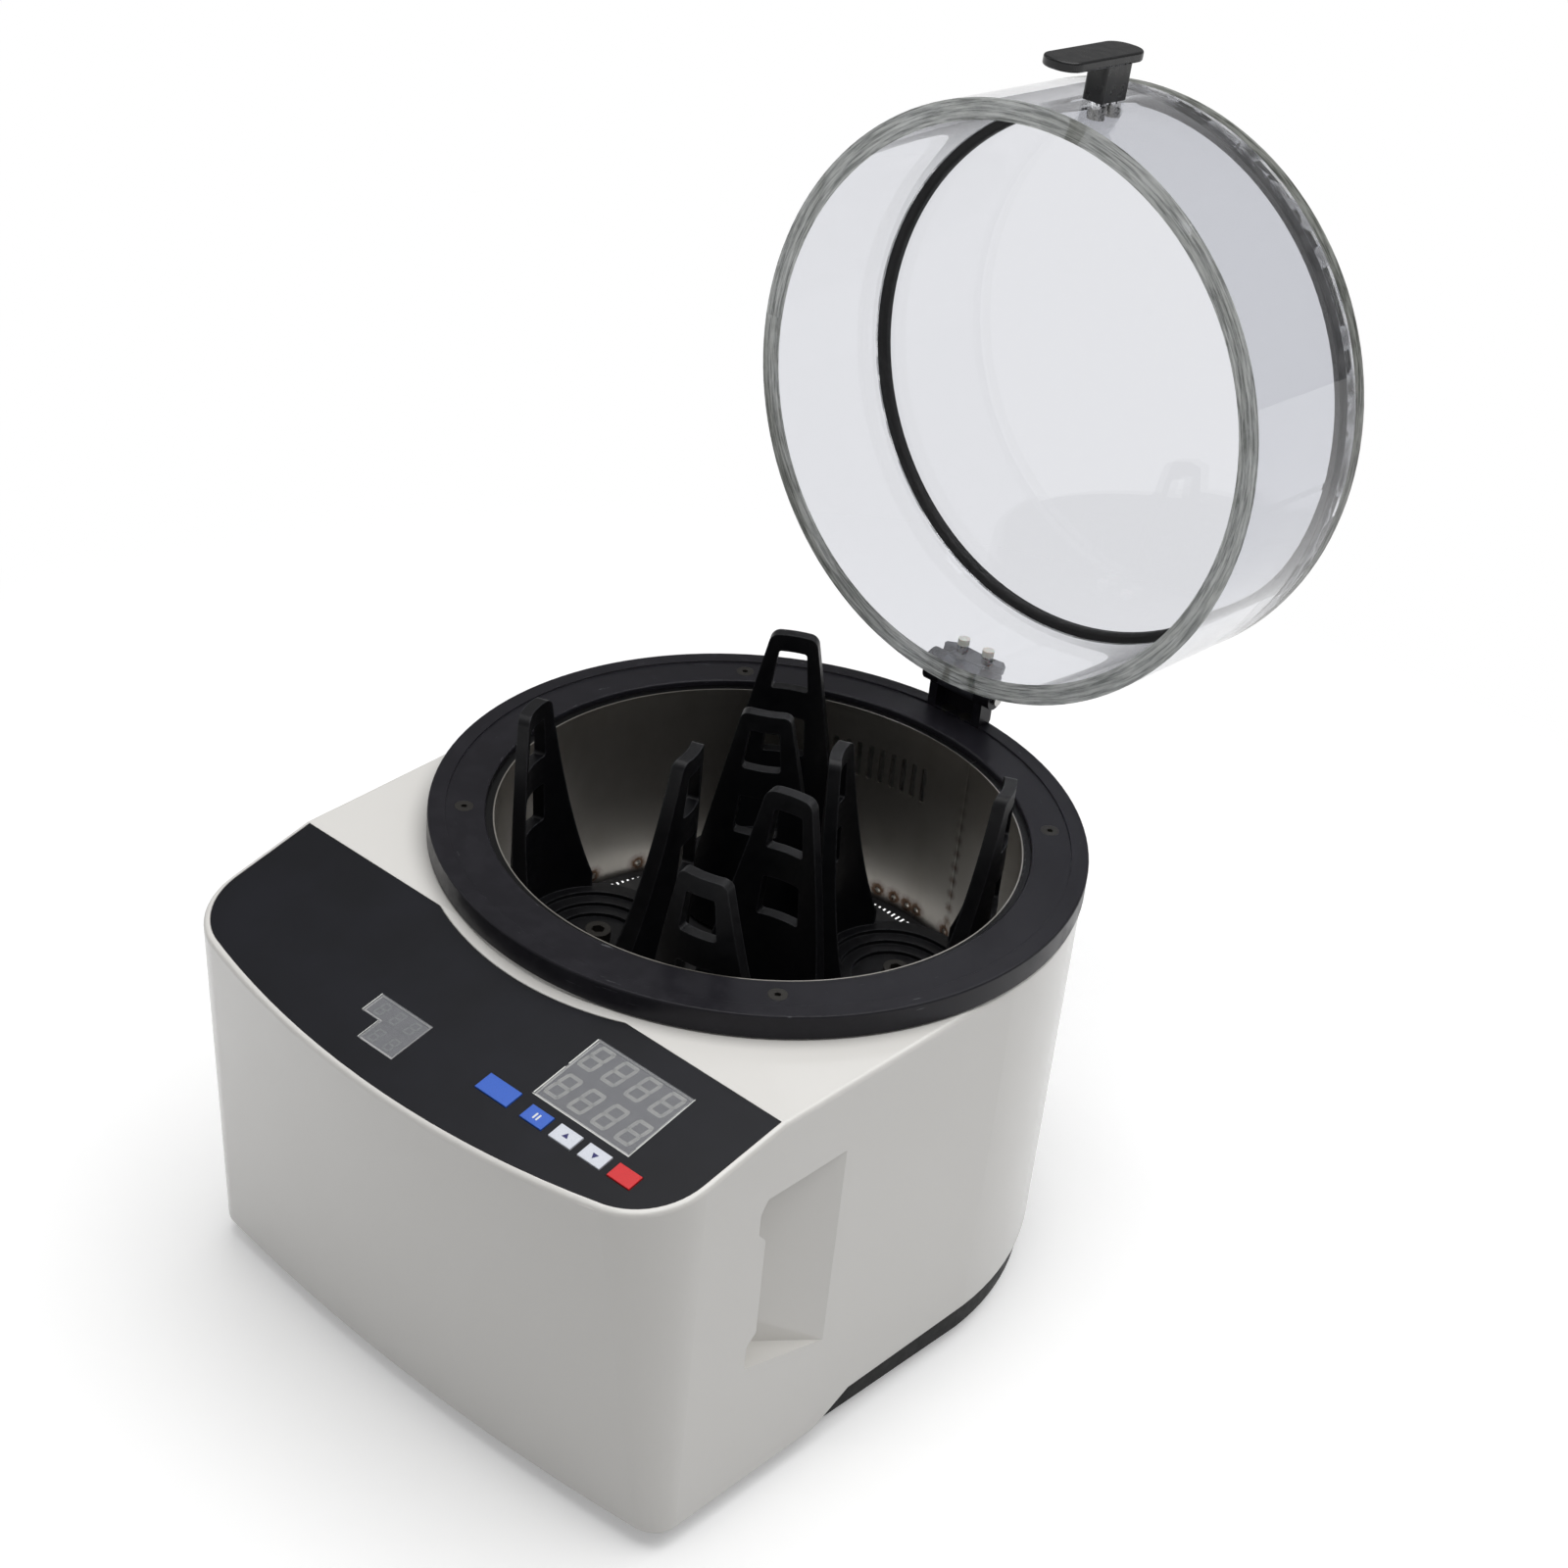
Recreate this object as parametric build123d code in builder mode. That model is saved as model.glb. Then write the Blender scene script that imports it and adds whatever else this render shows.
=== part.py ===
from build123d import *
import math
import os

# Planetary ball mill. A belt-driven turntable carries four jar holders round a fixed sun gear,
# so that each holder turns on its own axis as it travels round the steel bowl. A clear lid is
# hinged at the rear and the keys are on a sloping panel at the front.
# Millimetres. The origin is on the bowl axis at the floor, +Z up, -Y towards the operator.

# Clearances and shared values
overrun = 20.0
seat_gap = 0.3
running_gap = 0.05
press_gap = 0.02

# Flange ring: its outer radius sets the bowl, the lid and the housing
ring_radius = 160.0
ring_width = 27.7
ring_seat_width = 10.0
ring_thickness, ring_lip = 12.0, 3.8
ring_edge_round = 1.0
lid_seat_inset, lid_seat_drop = 8.5, 0.8
screw_inset, screw_start = 17.5, 45.0
screw_head_radius, screw_radius, screw_length = 4.6, 2.5, 20.0
screw_hex, screw_hex_depth = 1.6, 1.6

# Housing shell
housing_height = 220.0
skirt_height = 12.0
skirt_rise_start = 108.0
skirt_rise_run = 23.0
shell_inset = 1.0
side_reach, side_narrowing = 51.0, 7.0
crease_inset = 7.0
panel_depth, corner_depth, top_rounding = 100.0, 75.5, 40.0
bottom_bow, bottom_rounding = 10.5, 14.0
shell_wall = 3.0
top_edge_round = 2.5
panel_slope = 12.0

# Raised collar of the shell under the ring, with a flare in front
collar_inset = 2.0
collar_rise = 1.0
collar_flare = 6.6
collar_drop = 3.7
collar_root = 2.0
flare_rear, flare_span_share = 75.0, 0.72

# Grip pocket on each side
pocket_rear, pocket_length = 109.5, 54.0
pocket_top, pocket_height = 182.0, 112.0
pocket_depth = 23.0
pocket_outline_share = [(0, 1), (0.93, 1), (1, 0.94), (1, 0.84), (0.91, 0.79),
                        (0.9, 0.31), (1, 0.26), (1, 0.14), (0, 0)]

# Base pan and feet
foot_height, foot_radius, foot_taper = 8.0, 11.0, 8.0
foot_rear_inset, foot_rear_angle = 21.0, 43.5
foot_corner_inset, foot_front_inset = 37.0, 31.0
pan_height, pan_wall = 16.0, 2.5
pan_inset_rear, pan_inset_corner, pan_inset_front = 2.5, 6.5, 10.0

# Panel overlay, windows and keys
recess_depth, label_thickness = 0.6, 0.5
label_lip, label_rear_margin = 2.9, 0.6
pane_thickness = 0.5
pane_ledge = 1.2
display_width, display_depth = 57.0, 41.0
display_share = (0.565, 0.3425)
climate_width, climate_depth = 33.0, 25.0
climate_share = (-0.1405, 0.668)
climate_step_share = (0.33, 0.5)
digit_width, digit_depth = 50.3, 19.0
key_rise, key_travel, key_gap = 0.6, 0.4, 0.25
key_flange, key_flange_thickness = 1.0, 1.2
key_stem_radius = 1.5
key_width, key_depth = 13.0, 8.5
menu_width, menu_depth = 19.3, 10.0
key_share = {"key_menu": (0.296, 0.625), "key_pause": (0.454, 0.63), "key_up": (0.568, 0.63),
             "key_down": (0.681, 0.63), "key_run": (0.795, 0.63)}
board_depth_below, board_thickness = 11.0, 1.6
board_share = ((-0.33, 0.05), (0.891, 0.71))
board_post_radius, board_post_inset = 3.0, 3.5
switch_size, switch_height = 6.0, 5.0

# Bowl: a tube with a collar at its top and a foot ring welded on below, and a slotted floor
liner_step, liner_wall, liner_collar = 4.3, 1.5, 2.0
foot_ring_height, foot_ring_plate, foot_ring_ledge = 9.5, 1.5, 3.0
support_width, support_thickness = 11.0, 12.0
pillar_radius, tapped_depth = 6.0, 8.0
bowl_floor_top, bowl_floor_thickness = 119.0, 3.0
slot_count, slot_width = 240, 1.5
slot_margin, slot_length = 4.5, 15.5
vent_count, vent_start, vent_pitch = 9, 88.5, 3.0
vent_width, vent_length, vent_drop = 3.2, 20.5, 29.7

# Drive plate, bearings and shafts
plate_bottom, plate_thickness, plate_inset = 44.0, 6.0, 8.0
plate_tongue_width = 110.0
shaft_radius, shaft_end_radius, shaft_low, shaft_nut_length = 10.0, 6.0, 22.0, 10.0
shaft_collar_radius = 12.5
bearing_outer, bearing_height = 21.0, 12.0
shield_inset, shield_depth = 3.0, 0.6
housing_tube_radius, housing_flange_radius, housing_flange = 30.0, 44.0, 6.0
housing_waist = 16.0
gear_thickness, pressure_angle, dedendum_share = 6.0, 20.0, 1.25
gear_backlash = 0.3
sun_teeth, planet_teeth = 30, 20
sun_lift = 2.0
sun_bore = 14.0
turntable_gap = 1.0
turntable_margin, turntable_thickness, turntable_edge = 25.0, 10.0, 1.5
nut_radius, nut_height = 11.0, 8.0
planet_shaft_radius, planet_bearing_outer = 8.0, 16.0
planet_spacer_radius, planet_spacer = 11.0, 2.0
planet_stub, planet_shaft_below = 4.0, 0.7

# Pulleys, belt and motor
pulley_radius, motor_pulley_radius = 60.0, 18.0
pulley_low, pulley_width, pulley_flange, pulley_flange_rise = 24.0, 14.0, 1.0, 2.0
pulley_rim, pulley_web, pulley_hub = 8.0, 4.0, 18.0
belt_thickness = 2.0
motor_offset, motor_radius, motor_height = 18.0, 40.0, 115.0
motor_shaft_radius, motor_bore_depth = 5.0, 12.0
motor_shaft_hole = 8.0
motor_end_height, motor_end_step = 12.0, 1.5
controller_width, controller_length, controller_height = 90.0, 60.0, 22.0
controller_inset, fin_count, fin_height, fin_width = 68.0, 7, 14.0, 3.0

# Jar holders
station_angles = [36.0, 126.0, 216.0, 306.0]
pair_angles = [26.0, 121.6, 200.0, 283.0]
swing_gap, station_share = 8.0, 0.625
holder_wall, holder_floor = 6.0, 7.0
seat_count, seat_inset, seat_width, seat_step = 3, 11.0, 6.0, 2.3
upright_rise, upright_shoulder_rise = 38.5, 15.0
upright_half_top, upright_spread_share, upright_corner = 12.0, 0.756, 5.0
window_drops, window_height = [9.5, 47.5], 22.0
window_half_tops, window_half_bottoms, window_corner = [7.3, 9.5], [9.8, 11.2], 1.5
centre_head_radius, centre_head_height, centre_screw_radius, centre_screw_reach = 6.5, 8.0, 4.0, 20.0
centre_hex, centre_hex_depth = 3.4, 4.0

# Lid, hinge and handle
lid_inset, lid_wall, lid_height, lid_disc_thickness = 11.0, 10.5, 94.8, 8.0
lid_gap, lid_open_angle = 0.5, 94.0
gasket_width, gasket_round = 5.0, 2.0
hinge_rise, hinge_offset = 16.9, 6.25
knuckle_radius, knuckle_width, knuckle_gap = 6.0, 23.4, 0.5
pin_radius, pin_proud = 3.0, 2.0
leaf_width, leaf_height, leaf_thickness, leaf_corner = 40.0, 13.6, 3.75, 5.0
leaf_screw_x, leaf_screw_height = 8.0, 6.6
leaf_screw_radius, leaf_head_radius, leaf_head_height = 2.0, 3.1, 3.5
block_width, block_depth = 43.4, 9.7
block_web_set_back, block_web_proud = 0.4, 0.6
block_web_width, block_rear_wall = 34.0, 2.7
block_screw_x, block_screw_radius, block_head_radius, block_head_height = 6.0, 2.0, 3.6, 4.0
stem_width, stem_height, stem_low, stem_reach, stem_round = 11.5, 22.0, 32.8, 19.0, 2.0
grip_width, grip_height, grip_low, grip_thickness = 21.0, 65.0, -4.2, 5.0
grip_round, grip_edge_round = 9.5, 1.2
handle_screw_heights = [37.8, 50.8]
handle_screw_radius, handle_head_radius, handle_head_height, handle_screw_bite = 2.5, 4.25, 4.5, 12.0
handle_hex, handle_hex_depth = 2.4, 2.5

# Mains inlet and power switch at the rear
inlet_x, switch_x, inlet_z = -16.0, 22.0, 78.0
inlet_width, inlet_height, inlet_depth = 27.0, 20.0, 24.0
bezel_rim, bezel_thickness = 2.0, 2.5
blade_width, blade_height, blade_depth, blade_pitch, socket_depth = 2.0, 5.0, 14.0, 7.0, 17.0
socket_margin = 2.5
rocker_width, rocker_height, rocker_tilt = 12.0, 19.0, 10.0
rocker_frame_wall, rocker_depth, rocker_end_gap, rocker_back_share = 1.5, 8.0, 0.8, 0.6
trunnion_radius, trunnion_reach = 1.5, 1.2
rear_flat_depth, rear_flat_height = 5.0, 34.0

# Radii and reaches that follow from the ring
rear_radius = ring_radius - shell_inset
shell_opening = ring_radius - ring_seat_width
collar_radius = ring_radius - collar_inset
ring_bore = ring_radius - ring_width
lid_seat_radius = ring_radius - lid_seat_inset
screw_circle_radius = ring_radius - screw_inset
support_inner = shell_opening - support_width
liner_radius = ring_bore - liner_step
slot_outer = liner_radius - slot_margin
holder_reach = liner_radius - swing_gap
station_radius = holder_reach * station_share
holder_radius = holder_reach - station_radius
turntable_radius = station_radius + turntable_margin
gear_module = 2 * station_radius / (sun_teeth + planet_teeth)
plate_radius = rear_radius - plate_inset
motor_y = ring_radius + motor_offset
controller_y = ring_radius - controller_inset
lid_radius = ring_radius - lid_inset
hinge_y = lid_radius + hinge_offset
block_front = ring_radius - block_depth
crease_y = ring_radius - crease_inset
top_front = crease_y + panel_depth
top_corner = crease_y + corner_depth
side_length = ring_radius + side_reach
bottom_front = side_length + bottom_bow
half_width = rear_radius - side_narrowing
rear_flat_y = rear_radius - rear_flat_depth
rear_flat_width = 2 * math.sqrt(rear_radius ** 2 - rear_flat_y ** 2) - 2 * seat_gap

# Heights that follow from the sizes above
pan_top = foot_height + pan_height
ring_bottom = housing_height + collar_rise
ring_top = ring_bottom + ring_thickness
lid_seat = ring_top - lid_seat_drop
lip_underside = ring_top - ring_lip
liner_top = lip_underside
support_top = liner_top - liner_collar
support_bottom = support_top - support_thickness
plate_top = plate_bottom + plate_thickness
foot_ring_bottom = bowl_floor_top - bowl_floor_thickness - foot_ring_plate
foot_ring_top = foot_ring_bottom + foot_ring_height
sun_bottom = bowl_floor_top + sun_lift
gear_top = sun_bottom + gear_thickness
table_bottom = gear_top + turntable_gap
table_top = table_bottom + turntable_thickness
holder_bottom = table_top + planet_spacer
holder_floor_top = holder_bottom + holder_floor
upright_top = ring_top + upright_rise
upright_shoulder = holder_floor_top + upright_shoulder_rise
hinge_z = ring_top + hinge_rise
pulley_top = pulley_low + pulley_width

slope_sin, slope_cos = math.sin(math.radians(panel_slope)), math.cos(math.radians(panel_slope))
panel_plane = Plane(origin=(0, -crease_y, housing_height), x_dir=(1, 0, 0), z_dir=(0, -slope_sin, slope_cos))
ground = (0, 0, 1)
block_screws = [(side * block_screw_x, (block_front + collar_radius) / 2) for side in (1, -1)]

os.makedirs("parts", exist_ok=True)


def finish(builder, name):
    """Labels a finished piece and writes it."""
    builder.part.label = name
    export_step(builder.part, f"parts/{name}.step")


def polar(radius, angle):
    """Point at a radius and an angle about the bowl axis."""
    return radius * math.cos(math.radians(angle)), radius * math.sin(math.radians(angle))


def panel_point(share):
    """Place on the sloping panel: across from its middle and down from the crease."""
    return share[0] * half_width, -share[1] * panel_depth / slope_cos


board_x = [share * half_width for share in (board_share[0][0], board_share[1][0])]
board_y = [-share * panel_depth / slope_cos for share in (board_share[0][1], board_share[1][1])]


def key_size(name):
    """Width and depth of a key's cap."""
    return (menu_width, menu_depth) if name == "key_menu" else (key_width, key_depth)


def plan_outline(level, radius, corner_x, corner, front, rounding):
    """Plan outline with a half-round rear, straight sides and a bowed front."""
    with BuildSketch(Plane.XY.offset(level)) as plan:
        with BuildLine():
            ThreePointArc((radius, 0), (0, radius), (-radius, 0))
            Line((-radius, 0), (-corner_x, -corner))
            ThreePointArc((-corner_x, -corner), (0, -front), (corner_x, -corner))
            Line((corner_x, -corner), (radius, 0))
        make_face()
        fillet(plan.vertices().group_by(Axis.Y)[0], rounding)
    return plan.sketch


def housing_outline(level, inset):
    """Outline of the shell at the skirt or at the full height, drawn in by an inset."""
    at_top = level > skirt_height
    corner = (top_corner if at_top else side_length) - inset
    front = (top_front if at_top else bottom_front) - inset
    rounding = (top_rounding if at_top else bottom_rounding) - inset
    corner_x = rear_radius - side_narrowing * corner / side_length - inset
    return plan_outline(level, rear_radius - inset, corner_x, corner, front, rounding)


def housing_form(inset):
    """Leaning form of the shell between the skirt and the full height."""
    with BuildPart() as form:
        add(housing_outline(skirt_height, inset))
        add(housing_outline(housing_height, inset))
        loft(ruled=True)
    return form.part


def above_roof(drop):
    """Everything above the flat top and the sloping panel, lowered by a drop."""
    bend = -crease_y + drop * math.tan(math.radians(panel_slope / 2))
    roof = housing_height - drop
    back, reach = rear_radius + overrun, top_front + overrun
    with BuildPart() as space:
        with BuildSketch(Plane.YZ):
            with BuildLine():
                Polyline((back, roof), (bend, roof), (-reach, roof - (reach + bend) * slope_sin / slope_cos),
                         (-reach, housing_height + overrun), (back, housing_height + overrun), close=True)
            make_face()
        extrude(amount=rear_radius + overrun, both=True)
    return space.part


def panel_slab(low, thickness, inset, arc_gap):
    """Slab that lies along the panel, inside the shell's outline and outside the collar."""
    with BuildPart() as slab:
        with BuildSketch(panel_plane.offset(low)):
            with Locations((0, -label_rear_margin)):
                Rectangle(2 * rear_radius, panel_depth + overrun, align=(Align.CENTER, Align.MAX))
        extrude(amount=thickness)
        add(housing_form(inset), mode=Mode.INTERSECT)
        with BuildSketch(Plane.XY):
            Circle(collar_radius + collar_flare + arc_gap)
        extrude(amount=housing_height + overrun, mode=Mode.SUBTRACT)
    return slab.part


def climate_outline(grow):
    """Stepped outline of the temperature window: the lower row is shorter."""
    step_x = climate_step_share[0] * climate_width
    step_y = climate_step_share[1] * climate_depth
    left, right, low, high = -climate_width / 2, climate_width / 2, -climate_depth / 2, climate_depth / 2
    with BuildSketch() as outline:
        with BuildLine():
            Polyline((left, high), (right, high), (right, low), (left + step_x, low),
                     (left + step_x, low + step_y), (left, low + step_y), close=True)
        make_face()
        offset(amount=grow, kind=Kind.INTERSECTION)
    return outline.sketch


def pocket_form(side, grow, start, drop):
    """Wedge that deepens towards the front, bounded by the pocket's outline on the side wall."""
    lean = Vector(side_length, -side_narrowing, 0).normalized()
    normal = Vector(side * lean.X, lean.Y, 0)
    wall = Plane(origin=(side * rear_radius, 0, 0), x_dir=(-normal.Y, normal.X, 0), z_dir=normal)
    points = [(-side * (pocket_rear + along * pocket_length), pocket_top - pocket_height * (1 - up))
              for along, up in pocket_outline_share]
    floor_turn = math.degrees(math.atan2(pocket_depth, pocket_length))
    hinge_line = wall.from_local_coords((-side * pocket_rear, pocket_top, -drop))
    floor_plane = Plane(origin=hinge_line, x_dir=ground, z_dir=normal.rotate(Axis.Z, -side * floor_turn))
    with BuildPart() as wedge:
        with BuildSketch(wall.offset(start)):
            with BuildLine():
                Polyline(*points, close=True)
            make_face()
            offset(amount=grow, kind=Kind.INTERSECTION)
        extrude(amount=-(start + drop + pocket_depth + overrun))
        split(bisect_by=floor_plane, keep=Keep.TOP)
    return wedge.part


def gear_outline(teeth, phase):
    """Tooth outline through the involute's root, pitch and tip points, thinned by the backlash."""
    pitch = gear_module * teeth / 2
    base = pitch * math.cos(math.radians(pressure_angle))
    radii = [pitch - dedendum_share * gear_module, pitch, pitch + gear_module]
    involute = [math.tan(math.acos(min(base / r, 1))) - math.acos(min(base / r, 1)) for r in radii]
    thin = gear_backlash / 2 / pitch
    halves = [math.pi / 2 / teeth + involute[1] - value - thin for value in involute]
    points = []
    for tooth in range(teeth):
        centre = math.radians(phase) + 2 * math.pi * tooth / teeth
        for radius, half in zip(radii, halves):
            points.append((radius * math.cos(centre - half), radius * math.sin(centre - half)))
        for radius, half in zip(reversed(radii), reversed(halves)):
            points.append((radius * math.cos(centre + half), radius * math.sin(centre + half)))
    with BuildSketch() as outline:
        with BuildLine():
            Polyline(*points, close=True)
        make_face()
    return outline.sketch


def window_outline(half_top, half_bottom):
    """Outline of an upright's window, narrower at the top, with rounded corners."""
    with BuildSketch() as outline:
        with BuildLine():
            Polyline((-half_bottom, -window_height / 2), (-half_top, window_height / 2),
                     (half_top, window_height / 2), (half_bottom, -window_height / 2), close=True)
        make_face()
        fillet(outline.vertices(), window_corner)
    return outline.sketch


def bearing(centre, level, bore, outer, height):
    """Shielded ball bearing as one ring with a shallow shield groove on each face."""
    with BuildPart() as ring:
        with BuildSketch(Plane(origin=(*centre, level), z_dir=ground)):
            Circle(outer)
            Circle(bore, mode=Mode.SUBTRACT)
        extrude(amount=height)
        for face_level in (level, level + height - shield_depth):
            with BuildSketch(Plane(origin=(*centre, face_level), z_dir=ground)):
                Circle(outer - shield_inset)
                Circle(bore + shield_inset, mode=Mode.SUBTRACT)
            extrude(amount=shield_depth, mode=Mode.SUBTRACT)
    return ring.part


def belt_outline(grow):
    """Outline round both pulleys, kept clear of them, with straight tangent runs."""
    big, small = pulley_radius + seat_gap + grow, motor_pulley_radius + seat_gap + grow
    lean = math.asin((big - small) / motor_y)
    x_share, y_share = math.cos(lean), math.sin(lean)
    with BuildSketch() as loop:
        with BuildLine():
            Line((big * x_share, -big * y_share), (small * x_share, -motor_y - small * y_share))
            ThreePointArc((small * x_share, -motor_y - small * y_share), (0, -motor_y - small),
                          (-small * x_share, -motor_y - small * y_share))
            Line((-small * x_share, -motor_y - small * y_share), (-big * x_share, -big * y_share))
            ThreePointArc((-big * x_share, -big * y_share), (0, big), (big * x_share, -big * y_share))
        make_face()
    return loop.sketch


# Housing shell: leaning form, hollowed, with grip pockets, collar, panel openings and board posts
with BuildPart() as hollow:
    add(housing_form(shell_wall))
    add(above_roof(shell_wall), mode=Mode.SUBTRACT)

with BuildPart() as collar:
    with BuildSketch(Plane.XZ):
        with BuildLine():
            Polyline((shell_opening, ring_bottom), (collar_radius, ring_bottom))
            ThreePointArc((collar_radius, ring_bottom),
                          (collar_radius + collar_flare / 4, ring_bottom - collar_drop * 2 / 3),
                          (collar_radius + collar_flare, ring_bottom - collar_drop))
            Polyline((collar_radius + collar_flare, ring_bottom - collar_drop),
                     (collar_radius + collar_flare, ring_bottom - collar_drop - collar_root),
                     (shell_opening, ring_bottom - collar_drop - collar_root), (shell_opening, ring_bottom))
        make_face()
    revolve(axis=Axis.Z)
    with BuildSketch(Plane.XY.offset(ring_bottom - collar_drop - collar_root)):
        Rectangle(2 * rear_radius + overrun, 2 * rear_radius + overrun)
        Circle(collar_radius, mode=Mode.SUBTRACT)
        with Locations((0, -flare_rear)):
            Rectangle(2 * rear_radius * flare_span_share, rear_radius + overrun,
                      align=(Align.CENTER, Align.MAX), mode=Mode.SUBTRACT)
    extrude(amount=collar_drop + collar_root, mode=Mode.SUBTRACT)

with BuildPart() as housing_shell:
    add(housing_form(0))
    add(above_roof(0), mode=Mode.SUBTRACT)
    roof_faces = [f for f in housing_shell.faces() if f.normal_at().Z > slope_cos - slope_sin]
    roof_edges = [e for f in roof_faces for e in f.edges()]
    rim_edges = [e for e in roof_edges if sum(e.is_same(other) for other in roof_edges) == 1]
    fillet(rim_edges, top_edge_round)
    add(hollow.part, mode=Mode.SUBTRACT)
    add(collar.part)
    with BuildSketch(Plane.XY.offset(ring_bottom - collar_drop - overrun)):
        Circle(shell_opening)
    extrude(amount=2 * overrun, mode=Mode.SUBTRACT)
    for side in (1, -1):
        add(pocket_form(side, shell_wall, -shell_wall / 2, shell_wall))
        add(pocket_form(side, 0, overrun, 0), mode=Mode.SUBTRACT)
    add(panel_slab(-recess_depth, recess_depth + overrun, label_lip - seat_gap, 0), mode=Mode.SUBTRACT)
    with BuildSketch(panel_plane.offset(-board_depth_below)):
        with Locations(*[(board_x[i] + s * board_post_inset, board_y[j] + t * board_post_inset)
                         for i, s in ((0, 1), (1, -1)) for j, t in ((0, -1), (1, 1))]):
            Circle(board_post_radius)
    extrude(amount=board_depth_below - shell_wall / 2)
    with BuildSketch(panel_plane):
        with Locations(panel_point(display_share)):
            Rectangle(display_width - 2 * pane_ledge, display_depth - 2 * pane_ledge)
        with Locations(panel_point(climate_share)):
            add(climate_outline(-pane_ledge))
        for name, share in key_share.items():
            with Locations(panel_point(share)):
                Rectangle(key_size(name)[0] + 2 * key_gap, key_size(name)[1] + 2 * key_gap)
    extrude(amount=-(shell_wall + recess_depth), mode=Mode.SUBTRACT)
    with BuildSketch(Plane.YZ):
        with BuildLine():
            Polyline((-skirt_rise_start, 0), (-skirt_rise_start, skirt_height),
                     (skirt_rise_run - skirt_rise_start, pan_top), (rear_radius + overrun, pan_top),
                     (rear_radius + overrun, 0), close=True)
        make_face()
    extrude(amount=rear_radius + overrun, both=True, mode=Mode.SUBTRACT)
    with BuildSketch(Plane.XZ.offset(-rear_flat_y + shell_wall)):
        with Locations(((inlet_x + switch_x) / 2, inlet_z)):
            Rectangle(rear_flat_width, rear_flat_height + 2 * shell_wall)
    extrude(amount=-shell_wall)
    with BuildSketch(Plane.XZ.offset(-rear_flat_y)):
        with Locations(((inlet_x + switch_x) / 2, inlet_z)):
            Rectangle(2 * rear_radius, rear_flat_height)
    extrude(amount=-overrun, mode=Mode.SUBTRACT)
    with BuildSketch(Plane.XZ.offset(-rear_flat_y)):
        with Locations((inlet_x, inlet_z)):
            Rectangle(inlet_width, inlet_height)
        with Locations((switch_x, inlet_z)):
            Rectangle(rocker_width + 2 * rocker_frame_wall, rocker_height + 2 * rocker_frame_wall)
    extrude(amount=overrun, mode=Mode.SUBTRACT)
    with BuildSketch(Plane.XY.offset(ring_bottom)):
        with Locations(*block_screws):
            Circle(block_screw_radius + running_gap)
    extrude(amount=-(collar_drop + collar_root), mode=Mode.SUBTRACT)
finish(housing_shell, "housing_shell")

# Panel overlay with openings for the panes and keys
with BuildPart() as panel_label:
    add(panel_slab(-recess_depth, label_thickness, label_lip, seat_gap))
    with BuildSketch(panel_plane):
        with Locations(panel_point(display_share)):
            Rectangle(display_width + 2 * running_gap, display_depth + 2 * running_gap)
        with Locations(panel_point(climate_share)):
            add(climate_outline(running_gap))
        for name, share in key_share.items():
            with Locations(panel_point(share)):
                Rectangle(key_size(name)[0] + 2 * key_gap, key_size(name)[1] + 2 * key_gap)
    extrude(amount=-shell_wall, mode=Mode.SUBTRACT)
finish(panel_label, "panel_label")

# Panes over the two displays
with BuildPart() as display_window:
    with BuildSketch(panel_plane.offset(-recess_depth)):
        with Locations(panel_point(display_share)):
            Rectangle(display_width, display_depth)
    extrude(amount=pane_thickness)
finish(display_window, "display_window")

with BuildPart() as temperature_window:
    with BuildSketch(panel_plane.offset(-recess_depth)):
        with Locations(panel_point(climate_share)):
            add(climate_outline(0))
    extrude(amount=pane_thickness)
finish(temperature_window, "temperature_window")

# Digit modules stand on the control board, just under the panes
digit_height = board_depth_below - recess_depth - seat_gap
climate_x, climate_y = panel_point(climate_share)
climate_step = climate_step_share[0] * climate_width
digit_margin = pane_ledge + seat_gap
small_depth = climate_depth / 2 - 2 * digit_margin
with BuildPart() as led_modules:
    with BuildSketch(panel_plane.offset(-board_depth_below)):
        with Locations(panel_point(display_share)):
            with GridLocations(0, digit_depth + running_gap, 1, 2):
                Rectangle(digit_width, digit_depth)
        with Locations((climate_x, climate_y + climate_depth / 4)):
            Rectangle(climate_width - 2 * digit_margin, small_depth)
        with Locations((climate_x + climate_step / 2, climate_y - climate_depth / 4)):
            Rectangle(climate_width - climate_step - 2 * digit_margin, small_depth)
    extrude(amount=digit_height)
finish(led_modules, "led_modules")

# Control board with a switch block under each key
with BuildPart() as control_board:
    with BuildSketch(panel_plane.offset(-board_depth_below)):
        with Locations(((board_x[0] + board_x[1]) / 2, (board_y[0] + board_y[1]) / 2)):
            Rectangle(board_x[1] - board_x[0], board_y[0] - board_y[1])
    extrude(amount=-board_thickness)
    with BuildSketch(panel_plane.offset(-board_depth_below)):
        with Locations(*[panel_point(share) for share in key_share.values()]):
            Rectangle(switch_size, switch_size)
    extrude(amount=switch_height)
finish(control_board, "control_board")

# Keys: a cap in the panel, a flange that holds it from below and a stem above its switch
flange_top = -shell_wall - running_gap
key_stem_low = -board_depth_below + switch_height + key_travel + key_gap / 2
for name, share in key_share.items():
    width, depth = key_size(name)
    with BuildPart() as key:
        with BuildSketch(panel_plane.offset(flange_top)):
            with Locations(panel_point(share)):
                Rectangle(width, depth)
        extrude(amount=key_rise - flange_top)
        chamfer(key.faces().sort_by(Axis.Z)[-1].edges(), key_rise / 3)
        with BuildSketch(panel_plane.offset(flange_top)):
            with Locations(panel_point(share)):
                Rectangle(width + 2 * key_flange, depth + 2 * key_flange)
        extrude(amount=-key_flange_thickness)
        with BuildSketch(panel_plane.offset(flange_top - key_flange_thickness)):
            with Locations(panel_point(share)):
                Circle(key_stem_radius)
        extrude(amount=key_stem_low - flange_top + key_flange_thickness)
    finish(key, name)

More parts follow.
